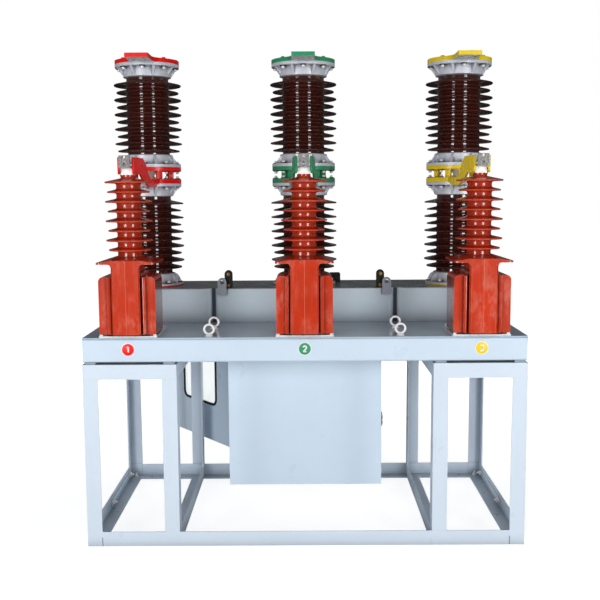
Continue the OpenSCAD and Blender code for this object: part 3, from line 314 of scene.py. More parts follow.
def slab(low, high, edge=1.0 * mm):
    """A block with bevelled edges: a rectangle with cut corners, carried up through four rows
    that draw in by the edge's width at both ends, and closed in the middle."""
    low, high = np.asarray(low, float), np.asarray(high, float)
    middle, half = (low + high) / 2, (high - low) / 2
    edge = min(edge, 0.45 * half.min())
    hx, hy = half[0], half[1]
    ring = np.array([(hx, hy - edge), (hx - edge, hy), (edge - hx, hy), (-hx, hy - edge),
                     (-hx, edge - hy), (edge - hx, -hy), (hx - edge, -hy), (hx, edge - hy)])
    inner = ring - np.sign(ring) * edge * 0.6
    rows = [(ring * 0, -half[2]), (inner, -half[2]), (ring, edge - half[2]),
            (ring, half[2] - edge), (inner, half[2]), (ring * 0, half[2])]
    points = np.stack([np.column_stack([xy, np.full(8, z)]) for xy, z in rows], 1)
    return sheet(points + middle, wrap_u=True)


def bead(start, end, radius):
    """A weld bead: a tube along a line whose radius swells and shrinks every 4 mm, drawn to a
    point at both ends."""
    start, end = np.asarray(start, float), np.asarray(end, float)
    length = np.linalg.norm(end - start)
    t = np.linspace(0, 1, max(int(length / (1.6 * mm)), 6))
    size = radius * (1 + 0.10 * np.sin(t * length / (4 * mm) * TAU))
    size = size * np.minimum(1, 12 * np.minimum(t, 1 - t)) ** 0.5
    angle = np.arange(8) / 8 * TAU
    ring = np.stack([np.cos(angle), np.sin(angle), angle * 0], 1) @ aim(end - start).T
    points = start + t[None, :, None] * (end - start) + ring[:, None, :] * size[None, :, None]
    return sheet(points, wrap_u=True)


def both(*places):
    """Places on the right, and the same on the left."""
    places = np.asarray(places, float).reshape(-1, 3)
    return np.concatenate([places, places * (-1, 1, 1)])


def piece(name, parts, material, body="root", sharp=40):
    """Joins parts into one object at the origin, merges the points that meet at poles, turns
    the closed shells' faces outwards, and shades it smooth except over sharp angles. It rides
    on its body."""
    points, faces, count = [], [], 0
    for part_points, part_faces in parts:
        points.append(part_points)
        faces += (part_faces + count).tolist()
        count += len(part_points)
    mesh = bpy.data.meshes.new(name)
    mesh.from_pydata(np.concatenate(points), [], faces)
    work = bmesh.new()
    work.from_mesh(mesh)
    bmesh.ops.remove_doubles(work, verts=work.verts, dist=1e-6)
    bmesh.ops.dissolve_degenerate(work, edges=work.edges, dist=1e-7)
    bmesh.ops.recalc_face_normals(work, faces=work.faces)
    work.to_mesh(mesh)
    work.free()
    mesh.shade_smooth()
    mesh.set_sharp_from_angle(angle=np.radians(sharp))
    mesh.materials.append(material)
    thing = bpy.data.objects.new(name, mesh)
    bpy.context.scene.collection.objects.link(thing)
    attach(thing, body)
    return thing


frame_paint = finish("frame_paint", tone(221, 234, 248), 0.34, cloud=(3, 0.025), gloss=(9, 0.07),
                     grain=(260, 0.06), peel=(60, 0.12), edge=(1.2, tone(198, 205, 213), 0.5),
                     corner_shade=(tone(96, 103, 112), 0.6, 0.05), top_shade=(tone(150, 156, 163), 0.45))
coat(frame_paint, "legs", "bottom_long_rails", "bottom_side_rails", "top_long_rails",
     "top_side_rails")
# The beams and the box take a slightly darker copy of the frame's paint, as painted shade on the
# box under the deck, with paler edges as painted highlights.
panel_shaded_paint = finish("panel_shaded_paint", tone(213, 230, 246), 0.34, cloud=(3, 0.025), gloss=(9, 0.07),
                     grain=(260, 0.06), peel=(60, 0.12), edge=(1.2, tone(226, 236, 246), 0.5),
                     corner_shade=(tone(120, 128, 138), 0.5, 0.04))
coat(panel_shaded_paint, "long_beams", "box_front_panel", "box_side_panels", "box_roof_and_floor",
     "door_leaf")

leg_end, leg_side, leg_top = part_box("legs")[1]
side_rail_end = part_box("bottom_side_rails")[1][1]
pack_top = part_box("packing_plates")[1][2]
rail = 60 * mm
wall = 6 * mm
inner_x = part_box("box_front_panel")[1][0] + 187 * mm
inside_end, inside_side = leg_end - wall, leg_side - wall
free_end, free_side = leg_end - rail, leg_side - rail

# Weld beads close the corners where legs meet the rails, inside the angle.
weld_r = 2.4 * mm
weld_in = 1.2 * mm
weld_rows = (rail + 1.5 * mm, leg_top - rail + wall - 1.5 * mm)
welds = []
for sx in (-1, 1):
    for sy in (-1, 1):
        y = sy * (inside_side - weld_in)
        for x0, x1 in ((inside_end, free_end), (inner_x + wall, inner_x + rail)):
            welds += [bead((sx * x0, y, z), (sx * x1, y, z), weld_r) for z in weld_rows]
        x = sx * (inside_end - weld_in)
        welds.append(bead((x, sy * side_rail_end, wall), (x, sy * side_rail_end, rail), weld_r))
piece("stand_welds", welds, frame_paint)

# A square plate closes each outer corner of the foot frame, and a flat bar with a bolt at each
# end stiffens the outer side rails from inside.
def mirrored(low, high, sx=1, sy=1):
    """The two corners of a block, after a flip across X or Y, put back in order."""
    flip = np.array((sx, sy, 1))
    return np.minimum(low * flip, high * flip), np.maximum(low * flip, high * flip)


bar_t = 4 * mm
bar_y, bar_z = (-48 * mm, 396 * mm), (20 * mm, 44 * mm)
corner_plates = [slab(*mirrored(np.array((free_end, free_side, 0)),
                                np.array((inside_end, inside_side, wall)), sx, sy))
                 for sx in (-1, 1) for sy in (-1, 1)]
flat_bars = [slab(*mirrored(np.array((inside_end - bar_t, bar_y[0], bar_z[0])),
                            np.array((inside_end, bar_y[1], bar_z[1])), sx))
             for sx in (-1, 1)]
piece("stand_corner_plates", corner_plates + flat_bars, frame_paint)

# The butt joints between legs and rails show as dark lines in the paint.
joint_paint = finish("joint_shade", tone(128, 132, 146), 0.5, cloud=(120, 0.25))
line_half, line_t, line_top = 1.6 * mm, 0.3 * mm, 37 * mm
joint_lines = []
for sx in (-1, 1):
    for sy in (-1, 1):
        x, y = sx * (free_end + 0.6 * mm), sy * (leg_side + line_t / 2)
        joint_lines.append(slab((x - line_half, y - line_t, 1 * mm),
                                (x + line_half, y + line_t, line_top), 0.2 * mm))
piece("stand_joint_lines", joint_lines, joint_paint)

# Zinc-plated bolts clamp the beams to the stand through the packing plates, and bolt the
# corner plates and the flat bars down.
zinc = finish("zinc_plate", tone(196, 198, 202), 0.30, metal=0.6, cloud=(40, 0.10),
              gloss=(60, 0.10), grain=(500, 0.05))
coat(zinc, "box_hinges", "door_hinges", "mechanism_plates")
# The packing plates' paler edges are painted highlights, and painted shade darkens their corners.
packing_paint = finish("packing_paint", tone(160, 176, 192), 0.34, cloud=(20, 0.05),
                       grain=(260, 0.06), edge=(1.2, tone(205, 212, 220), 0.5),
                       corner_shade=(tone(96, 104, 114), 0.5, 0.03))
coat(packing_paint, "packing_plates")
# Painted shade darkens the white zinc in its corners.
white_zinc = finish("white_zinc", tone(250, 250, 250), 0.32, metal=0.1, cloud=(30, 0.06),
                    gloss=(40, 0.08), grain=(400, 0.05), corner_shade=(tone(120, 122, 124), 0.6, 0.02))
coat(white_zinc, "eye_bolts", "ct_base_plates")
m16 = hex_bolt(24 * mm, 10 * mm, 15 * mm)
m12 = hex_bolt(19 * mm, 8 * mm, 12 * mm, 9 * mm)
bolt_side = leg_side - rail * 0.56
beam_flange = 5 * mm
columns = [(x, sy * bolt_side) for x in (leg_end - rail / 2, inner_x + rail / 2) for sy in (-1, 1)]
corner_x, corner_y = (free_end + inside_end) / 2, (free_side + inside_side) / 2
bar_ends = ((bar_y[0] + 26 * mm, 33 * mm), (bar_y[1] - 16 * mm, 33 * mm))
bolts = [spread(m16, both(*[(cx, cy, leg_top) for cx, cy in columns]), (0, 0, -1)),
         spread(m16, both(*[(cx, cy, pack_top + beam_flange) for cx, cy in columns])),
         spread(m12, both((corner_x, corner_y, wall), (corner_x, -corner_y, wall)))]
for sx in (-1, 1):
    places = [(sx * (inside_end - bar_t), y, z) for y, z in bar_ends]
    bolts.append(spread(m12, places, (-sx, 0, 0)))
piece("stand_bolts", bolts, white_zinc)

# ---- deck ----
# A steel plate on two long folded beams and four cross members, in the same blue-grey paint but a
# darker tone, as painted shade on the top, with more painted shade in its corners.
# A fillet of sealant runs along the beams' upper edge, and the glossy top mirrors what stands
# on it.
deck_shaded_paint = finish("deck_shaded_paint", tone(182, 204, 224), 0.16, cloud=(2, 0.04), gloss=(5, 0.05),
                    grain=(260, 0.02), peel=(30, 0.04), corner_shade=(tone(92, 99, 108), 0.55, 0.08))
coat(deck_shaded_paint, "deck_plate", "cross_members")
deck_low, deck_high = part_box("deck_plate")
seam_z = deck_low[2] + 1.5 * mm
seam_r = 1.6 * mm
x0, x1 = deck_low[0] + 3 * mm, deck_high[0] - 3 * mm
y0, y1 = deck_low[1] + 3 * mm, deck_high[1] - 3 * mm
long_seams = [bead((x0, y, seam_z), (x1, y, seam_z), seam_r) for y in (deck_low[1], deck_high[1])]
short_seams = [bead((x, y0, seam_z), (x, y1, seam_z), seam_r) for x in (deck_low[0], deck_high[0])]
piece("deck_seams", long_seams + short_seams, panel_shaded_paint)

# Enamelled phase discs stick on the front beam under each transformer: a white rim, the
# phase's colour, and a white numeral drawn as a raised stroke.
def stroke(line, width, depth, where):
    """A raised stroke along a line in the upright plane that faces the front: at each step the
    section is a low trapezium across the line, and its width falls to nothing at both ends
    along a half circle."""
    line = np.asarray(line, float)
    along = np.concatenate([[0], np.cumsum(np.hypot(*np.diff(line, axis=0).T))])
    s = np.unique(np.concatenate([np.linspace(0, along[-1], 40), along]))
    x, z = np.interp(s, along, line[:, 0]), np.interp(s, along, line[:, 1])
    dx, dz = np.gradient(x, s), np.gradient(z, s)
    size = np.hypot(dx, dz)
    end = np.minimum(np.minimum(s, s[-1] - s) / (width / 2), 1)
    half = width / 2 * np.sqrt(np.maximum(1 - (1 - end) ** 2, 1e-4))
    across = np.array([1, 0.82, -0.82, -1])
    out = np.array([0, -depth, -depth, 0])
    px = x[:, None] - (dz / size * half)[:, None] * across
    pz = z[:, None] + (dx / size * half)[:, None] * across
    py = np.broadcast_to(out, px.shape)
    return sheet(np.stack([px, py, pz], -1) + np.asarray(where), wrap_v=True)


def arc(cx, cz, r, a, b):
    """Points of a circle from one angle to another, in degrees."""
    t = np.radians(np.linspace(a, b, 24))
    return np.stack([cx + r * np.cos(t), cz + r * np.sin(t)], 1)


def paler(colour, share):
    """A colour part of the way to white."""
    return (*(c + (1 - c) * share for c in colour[:3]), 1)


phases = {1: ("red_paint", tone(252, 20, 12)), 2: ("green_paint", tone(52, 158, 110)),
          3: ("yellow_paint", tone(255, 222, 22))}
numerals = {1: [[(-4.2, 7.4), (1.2, 11.2), (1.2, -11.2)]],
            2: [np.concatenate([arc(0, 4.6, 6.4, 172, -32), [(-6.6, -11.0), (7.2, -11.0)]])],
            3: [np.concatenate([arc(-0.4, 5.6, 5.5, 150, -78), arc(-0.4, -5.2, 6.0, 82, -152)])]}
pole_gap = 700 * mm
phase_x = {i: (i - 2) * pole_gap for i in phases}
disc_z = 808 * mm
front_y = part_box("long_beams")[0][1]
forward = (0, -1, 0)
rim_disc = lathe(np.array([0, 27, 27, 26.6, 0]) * mm, np.array([0, 0, 0.4, 0.6, 0.6]) * mm, 64)
colour_disc = lathe(np.array([0, 23.6, 23.6, 23.2, 0]) * mm,
                    np.array([0.5, 0.5, 1.0, 1.2, 1.2]) * mm, 64)
enamel = {}
rims, figures = [], []
for i, (slot_name, colour) in phases.items():
    # A darker copy of each enamel colour is painted shade in its corners, and its paler edges are
    # painted highlights.
    enamel_shade = (*(c * 0.3 for c in colour[:3]), 1)
    enamel[i] = finish(slot_name, colour, 0.29, cloud=(12, 0.05), gloss=(15, 0.06),
                       grain=(220, 0.02), peel=(40, 0.04), edge=(1.6, paler(colour, 0.35), 0.6),
                       corner_shade=(enamel_shade, 0.45, 0.016))
    print_ink = finish(slot_name + "_print", colour, 0.42, cloud=(30, 0.03), grain=(400, 0.02))
    middle = (phase_x[i], front_y, disc_z)
    rims.append(spread(rim_disc, [middle], forward))
    piece(f"phase_disc_{i}", [spread(colour_disc, [middle], forward)], print_ink)
    on_disc = (phase_x[i], front_y - 1.1 * mm, disc_z)
    figures += [stroke(np.asarray(line) * mm, 6.2 * mm, 0.5 * mm, on_disc) for line in numerals[i]]
decal_white = finish("decal_white", tone(246, 247, 248), 0.35, cloud=(60, 0.02), grain=(400, 0.03))
piece("phase_disc_rims", rims, decal_white)
piece("phase_numerals", figures, decal_white)

# ---- drive housing ----
# A long sheet-steel housing in three sections over the drive levers. The sections' rounded corners
# meet in upright valleys, where a dark strip stands as painted shade. The housing's paint is a
# lighter tone than the frame's, as painted light against the transformers' shade, with painted
# shade in its corners and on its top. Two welded lugs, two black straps on yellow-zinc bolts, and a
# louvred vent block stand on its edges.
housing_paint = finish("housing_paint", tone(224, 244, 255), 0.22, cloud=(2.5, 0.03),
                       gloss=(6, 0.05), grain=(240, 0.03), peel=(30, 0.06),
                       edge=(2.0, tone(214, 222, 230), 0.4), corner_shade=(tone(66, 74, 88), 0.85, 0.10),
                       top_shade=(tone(84, 89, 96), 0.88))
coat(housing_paint, "drive_housing")
# The lugs' paler edges are painted highlights, and painted shade darkens their corners.
lug_paint = finish("lug_paint", tone(172, 182, 194), 0.25, cloud=(20, 0.04), grain=(300, 0.05),
                   edge=(1.5, tone(226, 232, 238), 0.6), corner_shade=(tone(96, 100, 106), 0.5, 0.02))
coat(lug_paint, "lifting_lugs")
house_low, house_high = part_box("drive_housing")
rubber = finish("black_rubber", tone(26, 28, 32), 0.55, cloud=(30, 0.12), grain=(500, 0.10))
coat(rubber, "door_gasket")
# A dark strip stands in each valley as painted shade.
valley_shade = finish("valley_shade_strip", tone(66, 74, 88), 0.5, cloud=(30, 0.12), grain=(500, 0.10))
seam_x = 400 * mm
seam_in = 13 * mm
strip_h = house_high[2] - house_low[2]
strip = lathe(np.array([0, 6.5, 8, 8, 6.5, 0]) * mm,
              np.array([0, 0, 1.5 * mm, strip_h - 2.5 * mm, strip_h - 1 * mm, strip_h - 1 * mm]),
              24)
valleys = both((seam_x, house_low[1] + seam_in, house_low[2]),
               (seam_x, house_high[1] - seam_in, house_low[2]))
piece("housing_valley_shade_strips", [spread(strip, valleys)], valley_shade)

# Folded hems stiffen the housing's upper edge; a weld runs up each side of a lug.
hem_z = house_high[2] - 1.6 * mm
corner_r = 34 * mm
house_end = house_high[0] - 2 * mm
spans = ((-house_end, -seam_x - corner_r), (corner_r - seam_x, seam_x - corner_r),
         (seam_x + corner_r, house_end))
hems = [bead((x0, y, hem_z), (x1, y, hem_z), 1.3 * mm)
        for x0, x1 in spans for y in (house_low[1], house_high[1])]
lug_low, lug_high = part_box("lifting_lugs")
lug_x, lug_half = 361 * mm, 19.5 * mm
weld_y, weld_top = lug_high[1] - 0.5 * mm, house_high[2] - 3 * mm
for x in (lug_x - lug_half, lug_x + lug_half):
    hems += [bead((sx * x, weld_y, lug_low[2]), (sx * x, weld_y, weld_top), 2.6 * mm)
             for sx in (-1, 1)]
piece("housing_hems_and_welds", hems, lug_paint)

# The straps and the vent block are moulded in black plastic; its paler edges are painted
# highlights.
black_plastic = finish("black_plastic", tone(28, 28, 30), 0.42, cloud=(20, 0.15),
                       grain=(600, 0.10), edge=(1.5, tone(58, 58, 60), 0.6))
coat(black_plastic, "black_straps", "vent_block", "box_latch", "door_handle")
strap_low, strap_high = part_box("black_straps")
yellow_zinc = finish("yellow_zinc", tone(176, 150, 84), 0.34, metal=0.7, cloud=(50, 0.2),
                     grain=(400, 0.06))
m8 = hex_bolt(13 * mm, 5.5 * mm, 8.5 * mm)
strap_x = 334 * mm
strap_holes = both((strap_x, strap_low[1], strap_low[2] + 12 * mm),
                   (strap_x, strap_low[1], strap_high[2] - 18 * mm))
piece("strap_bolts", [spread(m8, strap_holes, forward)], yellow_zinc)
vent_low, vent_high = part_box("vent_block")
vent_x0, vent_x1 = vent_low[0] + 7 * mm, vent_high[0] - 7 * mm
blade_h, blade_pitch, blade_out, blade_in = 2.6 * mm, 6 * mm, 2.2 * mm, 1 * mm
blade_rows = np.arange(vent_low[2] + 7 * mm, vent_high[2] - 9 * mm, blade_pitch)
louvres = [slab((vent_x0, y0, z), (vent_x1, y1, z + blade_h), 0.8 * mm)
           for y0, y1 in ((vent_low[1] - blade_out, vent_low[1] + blade_in),
                          (vent_high[1] - blade_in, vent_high[1] + blade_out))
           for z in blade_rows]
piece("vent_louvres", louvres, black_plastic)

# The lifting eyes screw into the deck over a washer, with a hexagon forged on their collar.
def hexagon(angle):
    """Outline of a hexagon: 1 on the flats, more towards the corners."""
    return (1 / np.cos((angle + TAU / 12) % (TAU / 6) - TAU / 12))[:, None]


collar = lathe(np.array([0, 12.6, 12.6, 11.4, 0]) * mm, np.array([2, 2, 6.4, 7.2, 7.2]) * mm,
               12, hexagon)
washer = lathe(np.array([0, 17, 17, 16, 0]) * mm, np.array([0, 0, 1.7, 2.2, 2.2]) * mm, 32)
eye_x, eye_rows = 381 * mm, (-428 * mm, -225 * mm)
eyes = both(*[(eye_x, y, deck_high[2]) for y in eye_rows])
piece("eye_bolt_collars", [spread(collar, eyes), spread(washer, eyes)], white_zinc)

# ---- poles ----
# Three poles of brown-glazed porcelain between cast aluminium hubs with eight ribs. Each joint
# is filled with grey cement, and bolts go round every flange between the ribs.
# The hubs' paler edges are painted highlights, and painted shade darkens them under the flanges and
# in the corners.
cast_aluminium = finish("cast_aluminium", tone(222, 226, 236), 0.40, metal=0.15,
                        cloud=(18, 0.05), gloss=(30, 0.08), grain=(420, 0.22), peel=(90, 0.18),
                        edge=(1.6, tone(240, 242, 246), 0.6), corner_shade=(tone(62, 65, 74), 0.9, 0.026))
glaze = finish("brown_glaze", tone(68, 26, 19), 0.11, cloud=(9, 0.22), gloss=(5, 0.03),
               grain=(60, 0.01), peel=(16, 0.03), Coat_Weight=1.0, Coat_Roughness=0.07,
               Coat_IOR=1.7)
for i in (1, 2, 3):
    coat(cast_aluminium, f"hubs_{i}")
    coat(glaze, f"lower_porcelain_{i}", f"upper_porcelain_{i}")
pole_y = 159 * mm
pole_foot, pole_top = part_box("hubs_2")[0][2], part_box("hubs_2")[1][2]
cage_foot, cage_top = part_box("drive_rods")[0][2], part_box("drive_rods")[1][2]
flange, hub_h = 13 * mm, 54 * mm
cage_lower_ring, cage_upper_ring = 20 * mm, 17 * mm
plate_t = 18 * mm
bolt_circle = 126 * mm
# The dark washers under the bolts are painted shade round each nut.
washer_shade = finish("washer_shade", tone(46, 47, 52), 0.45, metal=0.4, cloud=(60, 0.2))
cement = finish("joint_cement", tone(150, 152, 156), 0.8, cloud=(60, 0.15), grain=(500, 0.4))
cement_ring = lathe(np.array([92.6, 103.5, 103.0, 99, 95, 92.6]) * mm,
                    np.array([0, 0, 1.2, 2.4, 3.4, 4.2]) * mm, 96)
m10 = hex_bolt(12.5 * mm, 7.5 * mm, 7 * mm)
low_head = hex_bolt(15 * mm, 4 * mm, 10 * mm)
thick_washer = lathe(np.array([0, 13, 13, 12, 0]) * mm, np.array([0, 0, 3.2, 4, 4]) * mm, 24)
washer_t = 3.6 * mm
foot_band = lathe(np.array([141, 142.5, 142.5, 141]) * mm, np.array([0.3, 0.6, 5.2, 5.6]) * mm, 128)
turns = np.arange(8) * TAU / 8
not_front = turns[np.abs(turns - 0.75 * TAU) > 0.1]
# Each row of bolts: the height of the face they bear on, and which way their heads look.
seats = [(pole_foot + flange, 1), (cage_foot - flange, -1), (cage_foot + cage_lower_ring, 1),
         (cage_top - cage_upper_ring, -1), (cage_top + flange, 1), (pole_top - flange, -1)]
seals = [(pole_foot + hub_h, 1), (cage_foot - hub_h, -1), (cage_top + hub_h, 1),
         (pole_top - hub_h, -1)]


def circle(x, z, angles=turns):
    """Places on the bolt circle round a pole: the circle's radius times the cosine and sine of
    each angle, at one height."""
    return np.stack([x + bolt_circle * np.cos(angles), pole_y + bolt_circle * np.sin(angles),
                     np.full(len(angles), z)], 1)


for i, x in phase_x.items():
    piece(f"pole_bolts_{i}", [spread(m10, circle(x, z + washer_t * way), (0, 0, way))
                              for z, way in seats], white_zinc)
    piece(f"pole_washers_{i}", [spread(thick_washer, circle(x, z), (0, 0, way))
                                for z, way in seats], washer_shade)
    piece(f"top_bolts_{i}", [spread(low_head, circle(x, pole_top + plate_t, not_front))],
          enamel[i])
    piece(f"pole_cement_{i}", [spread(cement_ring, [(x, pole_y, z)], (0, 0, way))
                               for z, way in seals], cement)
    # A band in the phase's colour marks the foot of each pole.
    piece(f"pole_foot_band_{i}", [spread(foot_band, [(x, pole_y, pole_foot)])], enamel[i])

# ---- lanterns and top terminals ----
# Between the two porcelains an open casting carries the current out to the transformer: two
# rings joined by four posts, with the outlet arm cast on, all enamelled in the phase's colour.
# The drive rod shows inside. The top terminals' undersides are left bare.
def bare_under(n, spot, base):
    """Leaves the faces that look down unpainted, with the casting's coarse grain."""
    down = n.add("SeparateXYZ", _out=2, Vector=spot.outputs["Normal"])
    speckle = n.add("TexNoise", Vector=spot.outputs["Object"], Scale=170, Detail=4)
    metal_tone = n.blend(n.ramp(speckle, 0.4, 0.6), tone(150, 156, 152), tone(226, 228, 226))
    return n.blend(n.ramp(down, -0.9, -0.98), base, metal_tone)


for i, (slot_name, colour) in phases.items():
    coat(enamel[i], f"outlet_lantern_{i}")
    # The top terminals' paler edges are painted highlights.
    top_paint = finish(slot_name + "_top", colour, 0.36, cloud=(12, 0.05), gloss=(15, 0.05),
                       grain=(220, 0.01), peel=(30, 0.02), edge=(1.6, paler(colour, 0.35), 0.6),
                       layer=bare_under)
    coat(top_paint, f"top_terminal_{i}")
rod = finish("rod_resin", tone(250, 244, 230), 0.35, cloud=(20, 0.06), grain=(300, 0.05),
             stretch=(1, 1, 0.1))
coat(rod, "drive_rods")


# ---- current transformers ----
# Cast brick-red epoxy under a clear gloss: a winged body with a square skirt under a column of
# sheds. Each casting shows its mould's parting line up the middle of the front, and stands on
# four bolts over a white base plate.
front_plane = -0.478
wing_plane = -0.44
sheds_from = 1.12


def parting_bloom_and_side_shade(n, spot, base):
    """Draws a pale line, 1.4 mm wide, up the middle of each body's front face, with a chalky bloom
    of mould release beside it, and paints shade on the flanks below the sheds, the faces that look
    sideways."""
    place = n.add("SeparateXYZ", _out=None, Vector=spot.outputs["Object"])
    across = n.math("ABSOLUTE", n.add("Math", _set={"operation": "WRAP"}, i0=place.outputs[0],
                                      i1=pole_gap / 2, i2=-pole_gap / 2))
    front = n.math("LESS_THAN", place.outputs[1], front_plane)
    line = n.math("MULTIPLY", n.ramp(across, 0.0004, 0.0011, 0.55, 0.0), front)
    base = n.blend(line, base, tone(236, 150, 124))
    drawn = n.add("Mapping", Vector=spot.outputs["Object"], Scale=(1, 1, 0.45))
    bloom = n.add("TexNoise", Vector=drawn, Scale=34, Detail=6, Roughness=0.75)
    region = n.add("TexNoise", Vector=spot.outputs["Object"], Scale=7, Detail=2)
    share = n.math("MULTIPLY", n.ramp(bloom, 0.46, 0.68, 0.0, 0.42), n.ramp(region, 0.42, 0.58))
    share = n.math("MULTIPLY", share, n.math("LESS_THAN", place.outputs[1], wing_plane))
    base = n.blend(share, base, tone(232, 150, 132))
    # Painted shade on the faces that look sideways, below the sheds.
    turned = n.add("SeparateXYZ", _out=0, Vector=spot.outputs["Normal"])
    below = n.math("LESS_THAN", place.outputs[2], sheds_from)
    side_shade = n.math("MULTIPLY", n.ramp(n.math("ABSOLUTE", turned), 0.9, 0.99, 0.0, 0.72), below)
    return n.blend(side_shade, base, tone(44, 10, 6))


# The epoxy's paler edges are painted highlights, and painted shade darkens its corners and grooves.
epoxy = finish("red_epoxy", tone(206, 50, 0), 0.38, cloud=(7, 0.14), gloss=(8, 0.05),
               grain=(160, 0.005), edge=(2.6, tone(236, 170, 148), 0.6),
               corner_shade=(tone(104, 14, 2), 0.75, 0.035),
               streak=(tone(224, 110, 88), 0.45, 26), layer=parting_bloom_and_side_shade, Specular_IOR_Level=0.1,
               Coat_Weight=1.0, Coat_Roughness=0.16, Coat_IOR=1.75)
for i in (1, 2, 3):
    coat(epoxy, f"ct_body_{i}")

# The skirt's front edge thickens towards the column into a tapering band, with a small fillet
# under it where it meets the column's sides.
column, skirt_end, skirt_front, skirt_z = 56, 115, -480, 1147
fillet, corner = 12, 16


def skirt_band(side):
    """For each x across one half of the front, the section in the upright plane runs from the
    underside forward to the edge, up to a height that falls from 16 to 7 mm, and back to the
    skirt's slope. Underneath, the section drops into a quarter circle of 12 mm next to the
    column, and the outer end follows the skirt's rounded corner. All in mm."""
    bend = column + fillet * (1 - np.cos(np.linspace(0, TAU / 4, 10)[1:]))
    x = np.concatenate([np.linspace(47, column, 5), bend, np.linspace(69, skirt_end, 24)])
    from_fillet = column + fillet - np.clip(x, column, column + fillet)
    under = -fillet + np.sqrt(np.maximum(fillet ** 2 - from_fillet ** 2, 0))
    top = 7.2 + 8.8 * np.clip((skirt_end - x) / 60, 0, 1) ** 1.2
    past_corner = np.maximum(x - (skirt_end - corner), 0)
    rounding = np.sqrt(np.maximum(corner ** 2 - past_corner ** 2, 0))
    edge = skirt_front + corner - rounding + 0.15
    foot = np.minimum(-451.5, edge + 26)
    back = np.minimum(edge + (top - 6.8) / 0.26 + 2, -410)
    y = np.stack([foot, edge + 1.2, edge, edge, edge + 1.6, back], 1)
    z = np.stack([under, under, under + 1.2, top - 1.6, top, top], 1)
    across = np.broadcast_to(x[:, None], y.shape) * side
    band = np.stack([across, y, z + skirt_z], -1) * mm
    ends = [band[k:k + 1].mean(1, keepdims=True).repeat(6, 1) for k in (0, len(band) - 1)]
    return sheet(np.concatenate([ends[0], band, ends[1]]), wrap_v=True)


wing_front, wing_edge, groove_floor = -462, 75.4, -428
body_foot, wing_h = 869, 226


def rolled_edge(side):
    """The wing's front edge rolls over into the groove: flush for 8 mm, then a quarter circle
    of 9 mm down beside the column. The section is carried up the body. All in mm."""
    t = np.linspace(0, TAU / 4, 10)
    roll = 9
    x = np.concatenate([[wing_edge], 67 - roll * np.sin(t), [67 - roll, wing_edge]])
    y = np.concatenate([[wing_front], wing_front + roll - roll * np.cos(t),
                        [groove_floor, groove_floor]])
    section = np.stack([x * side, y], 1)
    foot, head = [np.column_stack([section, np.full(len(section), z)]) for z in (0.3, wing_h)]
    points = np.stack([np.broadcast_to(foot.mean(0), foot.shape), foot, head,
                       np.broadcast_to(head.mean(0), head.shape)], 1)
    return sheet((points + (0, 0, body_foot)) * mm, wrap_u=True)


trim = [skirt_band(side) for side in (-1, 1)] + [rolled_edge(side) for side in (-1, 1)]
for i, x in phase_x.items():
    moved = [(points + (x, 0, 0), faces) for points, faces in trim]
    piece(f"ct_skirt_front_{i}", moved, epoxy, sharp=30)

foot_bolt = hex_bolt(13 * mm, 5.0 * mm, 8.0 * mm)
plate_top = 861 * mm
front_pair, rear_pair = (106 * mm, -445 * mm), (100 * mm, -216 * mm)
feet = [(x + sx * across, y, plate_top) for x in phase_x.values() for sx in (-1, 1)
        for across, y in (front_pair, rear_pair)]
piece("ct_foot_bolts", [spread(foot_bolt, feet)], white_zinc)


pad_foot = 1.52


def pad_tone(n, spot, base):
    """The terminal block is pale with plating, and the contact pad over it dull and speckled."""
    up = n.add("SeparateXYZ", _out=2, Vector=spot.outputs["Object"])
    speckle = n.add("TexNoise", Vector=spot.outputs["Object"], Scale=210, Detail=4)
    dull = n.blend(n.ramp(speckle, 0.35, 0.65), tone(112, 106, 108), tone(168, 166, 164))
    return n.blend(n.ramp(up, pad_foot - 0.5 * mm, pad_foot + 0.5 * mm), base, dull)


plated = finish("bare_metal", tone(255, 255, 255), 0.30, cloud=(40, 0.04), grain=(500, 0.05),
                edge=(1.2, tone(246, 246, 246), 0.6), layer=pad_tone)
coat(plated, "ct_terminals")

# ---- mechanism box ----
# A folded sheet-steel box hangs from the deck beams. Its front is plain; a black latch plate
# with a lock sits on the right side, and the door's hinges are screwed to the left one.
latch_low, latch_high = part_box("box_latch")
latch_mid = [(low + high) / 2 for low, high in zip(latch_low, latch_high)]
latch_face = latch_high[0] - 0.2 * mm
outward = (1, 0, 0)
lock = lathe(np.array([0, 9, 9, 8, 5.5, 5, 0]) * mm,
             np.array([0, 0, 1.6, 2.2, 2.2, 1.2, 1.2]) * mm, 32)
latch_screw = hex_bolt(8 * mm, 2 * mm, 4.4 * mm)
piece("box_lock", [spread(lock, [(latch_face, latch_mid[1], latch_mid[2] + 8 * mm)], outward),
                   spread(latch_screw, [(latch_face, latch_mid[1], latch_mid[2] - 16 * mm)],
                          outward)], zinc)
screw = lathe(np.array([0, 5, 4.6, 3.4, 1.6, 1.6, 0]) * mm,
              np.array([0, 0, 1.2, 2.0, 2.3, 1.3, 1.3]) * mm, 16)
leaf_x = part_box("box_side_panels")[0][0] - 4 * mm
leaf_holes = [(leaf_x, y * mm, z * mm) for y in (214, 232) for z in (300, 316, 587, 603)]
piece("box_hinge_screws", [spread(screw, leaf_holes, (-1, 0, 0))], white_zinc)

# ---- door ----
# The rear door is a folded pan on two hinges, with a rounded window in a rubber gasket and a
# black bow handle. It stands open.
hinge = frame["record"]["behaviour"]["joints"][0]
pin = np.array((*hinge["pos_m"][:2], 0))
swing = np.radians(-hinge["range_deg"][0])
swing_turn = np.array([[np.cos(swing), -np.sin(swing), 0], [np.sin(swing), np.cos(swing), 0],
                       [0, 0, 1]])


def on_door(part):
    """Turns a part made in the closed door's frame about the hinge, to where the door stands."""
    points, faces = part
    return points @ swing_turn.T + pin, faces


